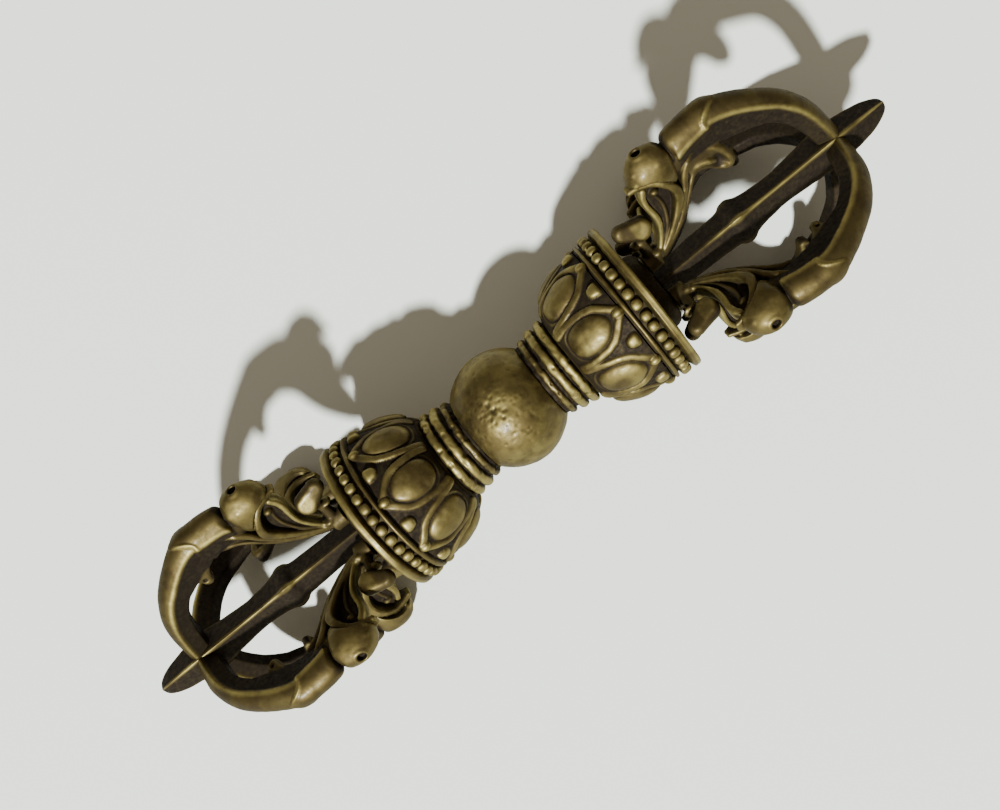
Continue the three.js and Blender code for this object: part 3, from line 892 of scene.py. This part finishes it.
# The tones of an arm's back and flanks; the flanks' dark tone is painted shade
ARM_TONES = (-0.3, -0.95)
# The round ridge along each side: how far out and in from the side it stands, and its radius
SIDE_RIDGE = (0.1, 0.42, 0.46)
# Its painted highlight: place and reach across the arm, where it starts in Y, where it is duller, and two
# tones
SIDE_SHINE = (0.15, 0.42)
SIDE_SHINE_Y = (1.2, 1.9)
SIDE_DULL = (21, 27)
SIDE_TONES = (0.95, 0.6)
SLEEVE_PATH = [
    (39.6, 16.9), (41.1, 17.6), (42.6, 18.1), (44.7, 18.4), (46.8, 18.6), (48.8, 18.1), (51.0, 17.0),
]
SLEEVE_HALF_WIDTH = 2.45
SLEEVE_BACKS = [(0, 2.7), (2, 3.0), (5, 2.95), (8, 2.6), (10, 2.4)]
SLEEVE_KEEL = 1.6
SLEEVE_KEEL_HALF = 1.9
SLEEVE_FRONT = 40.3
# The tones of the sleeve's back and flanks; the flanks' dark tone is painted shade
SLEEVE_TONES = (-0.2, -0.8)
# The front edge's notches: depth, place and reach across
NOTCH = (0.3, 0.8, 0.2)
CHEVRON_SIDE = 7.0
CHEVRON_SPINE = 9.6
CHEVRON_POWER = 1.5
# The chevron's raised rim: height, place and reach along the sleeve, and its tone
CHEVRON_RIM = (0.16, 0.35, 0.3)
CHEVRON_TONE = 0.55

HEAD_CENTRE = (37.0, 0, 17.2)
HEAD_HALF = (3.85, 2.9, 4.15)
HEAD_POWER = 2.1
HEAD_BACK = 1.1
HEAD_BACK_FLAT = 3.0
HEAD_FLANK = ((36.9, 0, 17.3), (2.9, 2.72, 2.9), 3.0)
NAPE = ((38.2, 0, 18.4), (2.2, 2.5, 1.8), 2.5)
NECK = ((40.3, 0, 16.6), (1.9, 1.75, 2.5), 2.2)
CHIN = ((35.7, 0.75, 14.7), (0.7, 0.7, 0.55))
SOCKET_X = 36.7
SOCKET_RADIUS = 0.66
SOCKET_DEPTH = 0.8
SOCKET_RIM = 0.25
SOCKET_SINK = 0.42
# Small lumps on the head: x, y, r and size
HEAD_LUMPS = [
    (34.7, 1.2, 19.4, 0.4), (34.2, 1.55, 18.0, 0.38), (39.2, 1.7, 19.0, 0.42), (38.0, 2.2, 19.0, 0.36),
]
HEAD_LUMP_LENGTH = 1.3
LIP_GAP = 0.12
LIP = (
    [
        (32.9, 17.0), (34.3, 17.15), (35.8, 16.85), (37.05, 15.85), (37.95, 14.4), (38.3, 13.1),
        (38.0, 11.6), (37.0, 10.0), (35.7, 8.4), (34.0, 6.7), (32.4, 5.4), (31.0, 4.5),
    ],
    [
        (0, 0.9), (0.07, 1.5), (0.15, 2.1), (0.24, 2.5), (0.32, 2.6), (0.41, 2.35),
        (0.5, 2.05), (0.6, 1.8), (0.7, 1.6), (0.81, 1.35), (1, 1.1),
    ],
    [(0, 0.45), (0.15, 0.5), (0.25, 0.55), (0.4, 0.75), (0.5, 0.68), (0.6, 0.55), (0.8, 0.42), (1, 0.38)],
    0.4,
)
JAW = (
    [
        (43.4, 16.7), (41.5, 15.5), (40.3, 13.9), (39.5, 12.2), (38.3, 10.2),
        (36.7, 8.1), (34.5, 6.3), (32.6, 5.2), (31.2, 4.6),
    ],
    [(0, 1.3), (0.12, 2.0), (0.35, 1.8), (1, 1.1)],
    [(0, 0.4), (0.2, 0.58), (0.5, 0.5), (1, 0.36)],
    0.5,
)
FIN = (
    [
        (44.5, 14.4), (42.6, 13.5), (41.0, 12.2), (39.7, 10.5),
        (38.3, 8.8), (36.6, 7.2), (34.4, 5.6), (32.2, 4.3),
    ],
    [(0, 0.8), (0.3, 1.2), (1, 0.8)],
    [(0, 0.35), (1, 0.3)],
    0.3,
)
TONGUE = (
    [(35.3, 14.4), (35.7, 13.2), (35.75, 11.6), (35.3, 9.9), (34.5, 8.2), (33.2, 6.5), (31.6, 5.1)],
    [(0, 0.9), (0.5, 1.1), (1, 0.9)],
    [(0, 0.3), (0.5, 0.34), (1, 0.3)],
    0.3,
)
TUSK = (
    [
        (34.4, 15.9), (33.9, 14.8), (33.75, 13.4), (33.95, 11.8),
        (33.95, 10.1), (33.4, 8.3), (32.4, 6.4), (31.2, 4.7),
    ],
    [(0, 1.1), (0.5, 1.25), (1, 0.95)],
    [(0, 0.5), (0.4, 0.45), (1, 0.36)],
    0.4,
)
WEB_OUTLINE = [
    (30.5, 3.3), (33.6, 4.5), (36.9, 7.0), (39.1, 9.7), (40.8, 11.8), (42.8, 13.3), (44.6, 14.2),
    (46.6, 14.0), (46.0, 17.0), (42.0, 17.6), (38.0, 17.2), (35.2, 16.4),
    (34.4, 14.6), (34.3, 12.6), (34.3, 10.4), (33.6, 8.2), (32.2, 6.2), (30.4, 4.8),
]
WEB_HALF_WIDTH = 0.6
HOOK_OUTLINE = [
    (46.8, 14.6), (48.2, 13.3), (48.9, 12.2), (49.2, 11.2), (49.9, 10.9),
    (50.6, 11.3), (50.9, 12.2), (51.6, 13.4), (50.0, 15.4),
]
HOOK_HALF_WIDTH = 1.0
HOOK_HOLLOW = ((50.1, 1.0, 12.2), (0.35, 0.35, 0.35))
SCROLL_OUTLINE = [
    (41.2, 12.3), (42.6, 12.3), (43.9, 11.5), (45.0, 10.3), (46.1, 9.6), (47.1, 9.5),
    (47.7, 10.4), (47.6, 11.9), (47.3, 13.4), (46.0, 15.4), (43.0, 15.4), (41.2, 14.2),
]
SCROLL_HALF_WIDTH = 1.0
SCROLL_HOLLOW = ((45.5, 1.3, 11.9), (1.1, 0.7, 1.2))
SCROLL_RIM = (
    [(43.6, 14.9), (45.0, 14.6), (46.2, 13.7), (46.9, 12.3), (47.1, 10.9), (46.7, 10.1), (45.9, 10.3)],
    [(0, 0.7), (0.3, 1.3), (0.7, 1.45), (1, 1.2)],
    [(0, 0.3), (0.5, 0.6), (1, 0.5)],
    0.5,
)
SCROLL_TONGUE = (
    [(41.4, 13.2), (42.7, 13.3), (44.0, 13.0), (45.0, 12.2)],
    [(0, 0.7), (0.3, 1.2), (0.8, 1.5), (1, 1.2)],
    [(0, 0.3), (0.7, 0.55), (1, 0.4)],
    0.5,
)
JEWEL_BASE = (31.2, 0, 10.7)
JEWEL_BASE_RADIUS = 1.9
JEWEL_TIP = (28.7, 0, 12.0)
JEWEL_TIP_RADIUS = 1.35
JEWEL_FACET = (0.05, 0.95, 0.3)
JEWEL_FACET_REACH = 1.4
# The painted highlight on the facets: where it starts across them and along X; then the jewel's tone and what
# the highlight adds
FACET_SHINE = (-0.35, -0.1)
FACET_SHINE_X = (29.6, 30.3)
JEWEL_TONES = (-0.5, 0.9)
STALK = (
    [(30.6, 9.8), (30.2, 8.2), (30.3, 6.2), (30.5, 4.4)],
    [(0, 0.85), (1, 1.1)],
    [(0, 0.7), (1, 0.9)],
    0.7,
)
STALK_KNOB = ((29.4, 0.0, 8.6), (0.95, 0.95, 0.5))
FOOT_LEAF = ((31.2, 0.7, 5.7), (0.9, 0.8, 0.6))
FOOT_RADIUS = 1.65
FOOT_END = 31.4
PEG_CIRCLE = 4.5
PRONG_REACH = 22.5
QUARTER_CLEARANCE = 0.1
SPINE_CLEARANCE = 0.08


def rounded(a, b, edge):
    """Distance from a corner of two distances a and b, rounded by edge."""
    return np.hypot(np.maximum(a, 0), np.maximum(b, 0)) + np.minimum(np.maximum(a, b), 0) - edge


class Clay:
    """The +Y half of a block of clay: a grid of distances, negative inside what has been put on,
    and of tones, from -1 for a dark surface to 1 for a bright one, standing for patina and wear and in places
    for painted shade and painted highlights."""

    def __init__(self):
        axes = [np.arange(a, b, CLAY_STEP) for a, b in zip(CLAY_LOW, CLAY_HIGH)]
        self.x = axes[0][:, None, None]
        self.y = axes[1][None, :, None]
        self.r = axes[2][None, None, :]
        self.field = np.full([len(axis) for axis in axes], CLAY_OUTSIDE)
        self.tone = np.zeros_like(self.field)

    def add(self, distance, blend, tone):
        self.tone = np.where(distance < self.field, tone, self.tone)
        self.field = smooth_min(self.field, distance, blend)

    def cut(self, distance, blend, tone):
        self.tone = np.where(-distance > self.field, tone, self.tone)
        self.field = smooth_max(self.field, -distance, blend)

    def along(self, points, steps=6):
        """Signed distance from a path (+ on its outer side), share of the way and length so far."""
        path = smooth_curve(points, steps)
        x, r = self.x, self.r
        best = np.full((len(self.x), 1, self.r.shape[2]), np.inf)
        side = np.zeros_like(best)
        gone = np.zeros_like(best)
        start = 0.0
        for (x0, r0), (x1, r1) in zip(path, path[1:]):
            dx, dr = x1 - x0, r1 - r0
            step = math.hypot(dx, dr)
            share = np.clip(((x - x0) * dx + (r - r0) * dr) / step ** 2, 0, 1)
            distance = np.hypot(x - x0 - share * dx, r - r0 - share * dr)
            nearer = distance < best
            left = np.sign(dx * (r - r0) - dr * (x - x0))
            best = np.where(nearer, distance, best)
            side = np.where(nearer, left, side)
            gone = np.where(nearer, start + share * step, gone)
            start += step
        return best * side, gone / start, gone

    def ellipsoid(self, centre, half, power=2.0):
        a = np.abs((self.x - centre[0]) / half[0])
        b = np.abs((self.y - centre[1]) / half[1])
        c = np.abs((self.r - centre[2]) / half[2])
        return ((a ** power + b ** power + c ** power) ** (1 / power) - 1) * min(half)

    def strap(self, points, widths, thicknesses, edge):
        """A band across the prong's plane: a rounded bar as wide in Y as widths says."""
        side, share, _ = self.along(points)
        width = np.interp(share, *zip(*widths))
        thick = np.interp(share, *zip(*thicknesses))
        edge = np.minimum(thick, edge)
        return rounded(np.abs(side) - thick + edge, self.y - width + edge, edge)

    def plate(self, outline, half_width, edge=0.3):
        """A flat plate in the prong's plane, bounded by a smooth closed outline."""
        path = smooth_curve(outline + outline[:1], 6)
        x, r = self.x, self.r
        inside = np.zeros((len(self.x), 1, self.r.shape[2]), bool)
        for (x0, r0), (x1, r1) in zip(path, path[1:]):
            if r0 != r1:
                crosses = (r0 > r) != (r1 > r)
                inside ^= crosses & (x < (x1 - x0) * (r - r0) / (r1 - r0) + x0)
        best = path_distance(path, x, r)
        return rounded(np.where(inside, -best, best) + edge, self.y - half_width + edge, edge)

    def drop(self, base, base_radius, tip, tip_radius):
        """A round form whose radius goes evenly from base to tip."""
        base, tip = np.array(base), np.array(tip)
        way = tip - base
        a, b, c = self.x - base[0], self.y - base[1], self.r - base[2]
        share = np.clip((a * way[0] + b * way[1] + c * way[2]) / (way @ way), 0, 1)
        away = np.sqrt((a - share * way[0]) ** 2 + (b - share * way[1]) ** 2 + (c - share * way[2]) ** 2)
        return away - base_radius - (tip_radius - base_radius) * share

    def valley_floor(self):
        """How far out in Y the surface would stand, at each [x, r], with its hollows filled."""
        columns = np.where(self.field < 0, self.y, 0)
        height = columns.max(axis=1)
        for pick in (np.maximum, np.minimum):
            for axis in (0, 1):
                start = height
                for shift in range(1, HOLLOW_REACH + 1):
                    height = pick(height, pick(np.roll(start, shift, axis), np.roll(start, -shift, axis)))
        return height


def arm_section(out, across, half_width, back, keel, keel_half):
    """Distance from the arm's section: a rounded back, flat flanks and a narrow keel."""
    over = np.maximum(out, 0)
    dome = (np.sqrt((across / half_width) ** 2 + (over / back) ** 2) - 1) * np.minimum(half_width, back)
    slope = np.hypot(keel, half_width - keel_half)
    flank = ((across - half_width) * keel - out * (half_width - keel_half)) / slope
    shape = smooth_max(smooth_max(dome, flank, 0.12), -keel - out, 0.35)
    outwards, inset, radius = SIDE_RIDGE
    ridge = np.hypot(out - outwards, across - half_width + inset) - radius
    return smooth_min(shape, ridge, 0.3)


def ridge_tone(clay, side, gone, back, flank):
    """The tone of an arm: a painted highlight on its side ridges, which grows duller where the arms meet, and
    painted shade on its flanks.
    """
    place, reach = SIDE_SHINE
    bright = np.exp(-((side - place) / reach) ** 2) * smooth_step(*SIDE_SHINE_Y, clay.y)
    tone = np.where(side > -0.3, back, flank)
    best, dulling = SIDE_TONES
    return tone + (best - dulling * smooth_step(*SIDE_DULL, gone) - tone) * bright * (side > -0.35)


def put_arm(clay):
    side, _, gone = clay.along(ARM_PATH, 8)
    keel_half = np.interp(gone, *zip(*ARM_KEEL_HALVES))
    back, keel = np.interp(gone, *zip(*ARM_BACKS)), np.interp(gone, *zip(*ARM_KEELS))
    arm = arm_section(side, clay.y, ARM_HALF_WIDTH, back, keel, keel_half)
    clay.add(smooth_max(arm, ARM_START - clay.x, 0.4), 0.01, ridge_tone(clay, side, gone, *ARM_TONES))


def put_sleeve(clay):
    """The leaf round the arm's root: a chevron with a raised rim behind, notches in front."""
    side, _, gone = clay.along(SLEEVE_PATH, 8)
    back = np.interp(gone, *zip(*SLEEVE_BACKS))
    sleeve = arm_section(side, clay.y, SLEEVE_HALF_WIDTH, back, SLEEVE_KEEL, SLEEVE_KEEL_HALF)
    aside = clay.y / SLEEVE_HALF_WIDTH
    chevron = np.clip(1 - aside ** CHEVRON_POWER, 0, 1)
    beyond = gone - CHEVRON_SIDE - (CHEVRON_SPINE - CHEVRON_SIDE) * chevron
    rim = smooth_step(0.25, 0.6, aside)
    height, place, reach = CHEVRON_RIM
    sleeve = sleeve - height * rim * np.exp(-((beyond + place) / reach) ** 2) * smooth_step(-0.5, 0.0, side)
    depth, place, reach = NOTCH
    notch = depth * np.exp(-((aside - place) / reach) ** 2)
    tone = ridge_tone(clay, side, 0 * gone, *SLEEVE_TONES)
    tone = np.where((beyond > -0.6) & (side > -0.2), np.maximum(tone, CHEVRON_TONE * rim), tone)
    sleeve = smooth_max(smooth_max(sleeve, beyond, 0.2), SLEEVE_FRONT + notch - clay.x, 0.9)
    clay.add(sleeve, 0.1, tone)


def put_web(clay, curled):
    """The plate behind the jaws with its scroll or hook, and the jaws themselves."""
    clay.add(clay.plate(WEB_OUTLINE, WEB_HALF_WIDTH), 0.3, -0.9)
    if curled:
        clay.add(clay.plate(SCROLL_OUTLINE, SCROLL_HALF_WIDTH), 0.2, -0.5)
        clay.cut(clay.ellipsoid(*SCROLL_HOLLOW), 0.3, -0.9)
        clay.add(clay.strap(*SCROLL_RIM), 0.35, -0.05)
        clay.add(clay.strap(*SCROLL_TONGUE), 0.35, 0.1)
    else:
        clay.add(clay.plate(HOOK_OUTLINE, HOOK_HALF_WIDTH, 0.5), 0.3, -0.3)
        clay.cut(clay.ellipsoid(*HOOK_HOLLOW), 0.15, -0.8)
    for strap, blend, tone in ((FIN, 0.25, -0.45), (JAW, 0.2, 0.0), (TONGUE, 0.2, -0.7), (TUSK, 0.12, 0.55)):
        clay.add(clay.strap(*strap), blend, tone)


def put_head(clay):
    behind = np.maximum(clay.x - HEAD_CENTRE[0], 0)
    longer = clay.ellipsoid(HEAD_CENTRE, (HEAD_HALF[0] * HEAD_BACK, *HEAD_HALF[1:]), HEAD_POWER)
    longer = smooth_max(longer, behind - HEAD_BACK_FLAT, 0.9)
    head = np.where(behind > 0, longer, clay.ellipsoid(HEAD_CENTRE, HEAD_HALF, HEAD_POWER))
    head = smooth_min(head, clay.ellipsoid(*HEAD_FLANK), 0.35)
    head = smooth_min(head, clay.ellipsoid(*NAPE), 0.5)
    path, _, thicknesses, _ = LIP
    side, share, _ = clay.along(path)
    inside_lip = np.interp(share, *zip(*thicknesses)) + LIP_GAP - side
    clay.add(smooth_max(clay.ellipsoid(*NECK), inside_lip, 0.15), 0.15, -0.6)
    clay.add(smooth_max(head, inside_lip, 0.15), 0.1, 0.12)
    clay.add(clay.strap(*LIP), 0.06, 0.1)
    clay.add(clay.ellipsoid(*CHIN), 0.2, -0.3)


def put_face(clay):
    """The round hollow on the head's crest, with a rim, and small lumps beside it."""
    crest = HEAD_CENTRE[2] + HEAD_HALF[2]
    away = np.hypot(clay.x - SOCKET_X, clay.y)
    rim = np.hypot(away - SOCKET_RADIUS - SOCKET_RIM, clay.r - crest + SOCKET_SINK) - SOCKET_RIM
    clay.add(rim, 0.4, 0.3)
    clay.cut(np.maximum(away - SOCKET_RADIUS, crest - SOCKET_DEPTH - clay.r), 0.25, -0.8)
    for x, y, r, size in HEAD_LUMPS:
        clay.add(clay.ellipsoid((x, y, r), (size * HEAD_LUMP_LENGTH, size, size)), 0.35, 0.4)


def put_jewel(clay):
    """The jewel with a facet on each side that carries a painted highlight, its stalk, and the prong's foot.
    """
    jewel = clay.drop(JEWEL_BASE, JEWEL_BASE_RADIUS, JEWEL_TIP, JEWEL_TIP_RADIUS)
    lean = [clay.x - JEWEL_BASE[0], clay.y, clay.r - JEWEL_BASE[2]]
    facet = sum(a * b for a, b in zip(JEWEL_FACET, lean)) - JEWEL_FACET_REACH
    bright = smooth_step(*FACET_SHINE, facet) * smooth_step(*FACET_SHINE_X, clay.x)
    clay.add(smooth_max(jewel, facet, 0.3), 0.05, JEWEL_TONES[0] + JEWEL_TONES[1] * bright)
    clay.add(clay.strap(*STALK), 0.2, -0.5)
    clay.add(clay.ellipsoid(*STALK_KNOB), 0.2, 0.1)
    clay.add(clay.ellipsoid(*FOOT_LEAF), 0.4, -0.3)
    foot = np.hypot(clay.y, clay.r - PEG_CIRCLE) - FOOT_RADIUS
    foot = smooth_max(foot, clay.x - FOOT_END, 0.6)
    clay.add(np.maximum(foot, SPINE[0][0] - clay.x), 0.25, -0.5)


def trim(clay):
    """Keeps the prong to its own quarter, clear of the central prong and within its reach."""
    quarter = QUARTER_CLEARANCE - (clay.r - clay.y) / ROOT_2
    inwards = spine_half(clay.x) / ROOT_2 + SPINE_CLEARANCE - clay.r
    for limit in (quarter, inwards, clay.r + clay.y - PRONG_REACH):
        clay.field = np.maximum(clay.field, limit)


def box_blur(field, reach):
    """A 3-D field averaged over reach cells each way."""
    for axis in range(3):
        widths = [(0, 0)] * 3
        widths[axis] = (reach + 1, reach)
        total = np.cumsum(np.pad(field, widths, mode="edge"), axis=axis)
        high = np.take(total, range(2 * reach + 1, total.shape[axis]), axis=axis)
        low = np.take(total, range(0, total.shape[axis] - 2 * reach - 1), axis=axis)
        field = (high - low) / (2 * reach + 1)
    return field


def sample(field, places):
    """The values of a 3-D field at places given in its own cells."""
    cell = np.clip(np.floor(places).astype(int), 0, np.array(field.shape) - 2)
    return between(field, cell, places - cell)


def mirrored(half):
    return np.concatenate([half[:, :0:-1], half], axis=1)


GRID_OUTSIDE = 3.0
BULK_REACH = 2
TONE_REACH = 1
# How deep in a hollow a point is before it gets patina and painted shade
DEEP = (0.25, 1.1)
DEEP_PATINA_AND_SHADE = 0.75
# The share of clay round a point: less than the first is an edge, more than the second a crease
EDGE_AND_CREASE = (0.46, 0.55)
BULK_GAIN = 5
# The wear of an edge: at the least, what a light tone adds, and what a dark one takes off
EDGE_WEARS = (0.12, 0.4, 0.7)
EDGE_CLEARS = 0.5
# What looks down at the axis gets painted shade, past this distance along X
INNER_START = 33
INNER_LEVEL = 0.15
INNER_PAINTED_SHADE = 0.7
MAKARA_SEED = 100
MAKARA_SEED_STEP = 10
MAKARA_LUMPS = [(0.07, 2.8), (0.03, 1.1)]


def makara_mesh(curled):
    """The prong's points, faces, wear with painted highlights, and patina with painted shade, with a curled
    fin or a plain hooked one.
    """
    clay = Clay()
    put_web(clay, curled)
    put_arm(clay)
    put_sleeve(clay)
    put_head(clay)
    put_face(clay)
    put_jewel(clay)
    trim(clay)
    field = mirrored(clay.field)
    grid = openvdb.FloatGrid(GRID_OUTSIDE)
    grid.copyFromArray(field.astype(np.float32))
    points, faces = grid.convertToQuads(isovalue=0.0)
    points = np.array(points, float)
    bulk = box_blur(box_blur((field < 0).astype(float), BULK_REACH), BULK_REACH)
    bulk = sample(bulk, points)
    tone = sample(box_blur(mirrored(clay.tone), TONE_REACH), points)
    filled = np.repeat(clay.valley_floor()[:, None, :], 2, axis=1)
    filled = sample(filled, points * [1, 0, 1])
    low = np.array([CLAY_LOW[0], -(len(clay.y[0]) - 1) * CLAY_STEP, CLAY_LOW[2]])
    points = points * CLAY_STEP + low
    depth = smooth_step(*DEEP, filled - np.abs(points[:, 1]))
    edge = np.clip((EDGE_AND_CREASE[0] - bulk) * BULK_GAIN, 0, 1)
    crease = np.clip((bulk - EDGE_AND_CREASE[1]) * BULK_GAIN, 0, 1)
    light, dark = np.clip(tone, 0, 1), np.clip(-tone, 0, 1)
    least, more, less = EDGE_WEARS
    wear_and_highlight = np.clip(light + edge * (least + more * light) * (1 - less * dark), 0, 1)
    patina_and_shade = np.clip(dark * (1 - EDGE_CLEARS * edge) + DEEP_PATINA_AND_SHADE * depth + crease, 0, 1)
    faces = np.array(faces, np.int64)
    return points, outward(points, faces), wear_and_highlight, patina_and_shade


def vertex_normals(points, faces):
    a, b, c, d = (points[faces[:, i]] for i in range(4))
    normal = np.cross(c - a, d - b)
    total = np.zeros_like(points)
    for i in range(4):
        np.add.at(total, faces[:, i], normal)
    return total / np.maximum(np.linalg.norm(total, axis=1), 1e-12)[:, None]


def add_makaras():
    for curled in (True, False):
        points, faces, wear_and_highlight, patina_and_shade = makara_mesh(curled)
        normals = vertex_normals(points, faces)
        # Painted shade on the faces that look down at the axis
        painted_inner_shade = np.clip(-normals[:, 2] - INNER_LEVEL, 0, 1) * (points[:, 0] > INNER_START)
        patina_and_shade = np.clip(patina_and_shade + INNER_PAINTED_SHADE * painted_inner_shade, 0, 1)
        for name, end, i in [(name, end, i) for name, end in ENDS.items() for i in range(MAKARAS)]:
            if curled != (f"{name}_{i + 1}" in CURLED_PRONGS):
                continue
            rough = Noise(MAKARA_SEED + MAKARA_SEED_STEP * i + end).layered(points, MAKARA_LUMPS)
            moved = placed(points + normals * rough[:, None], end, math.pi / 2 * (i + 0.5))
            moved[:, 2] = np.maximum(moved[:, 2], 0.0)
            add_piece(f"{name}_makara_{i + 1}", f"{name}_makara_prong_{i + 1}",
                      moved, faces, wear_and_highlight, patina_and_shade)


add_camera()
add_floor()
add_world()
add_lamp()

brass = brass_material()
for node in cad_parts.values():
    node.data.materials.clear()
    node.data.materials.append(brass)

add_ball()
add_makaras()
for side, end in ENDS.items():
    for title, node, slot, make in (
        ("collar", "neck_collar", "hub_brass", collar),
        ("cup", "lotus_cup", "cup_brass", cup),
        ("rim", "rim_ring", "rim_brass", rim),
        ("seat", "prong_seat", "seat_brass", seat),
        ("spine", "central_prong", "spine_brass", spine),
    ):
        points, faces, wear_and_highlight, patina_and_shade = make(end)
        add_piece(f"{side}_{title}", f"{side}_{node}", placed(points, end), faces, wear_and_highlight, patina_and_shade)
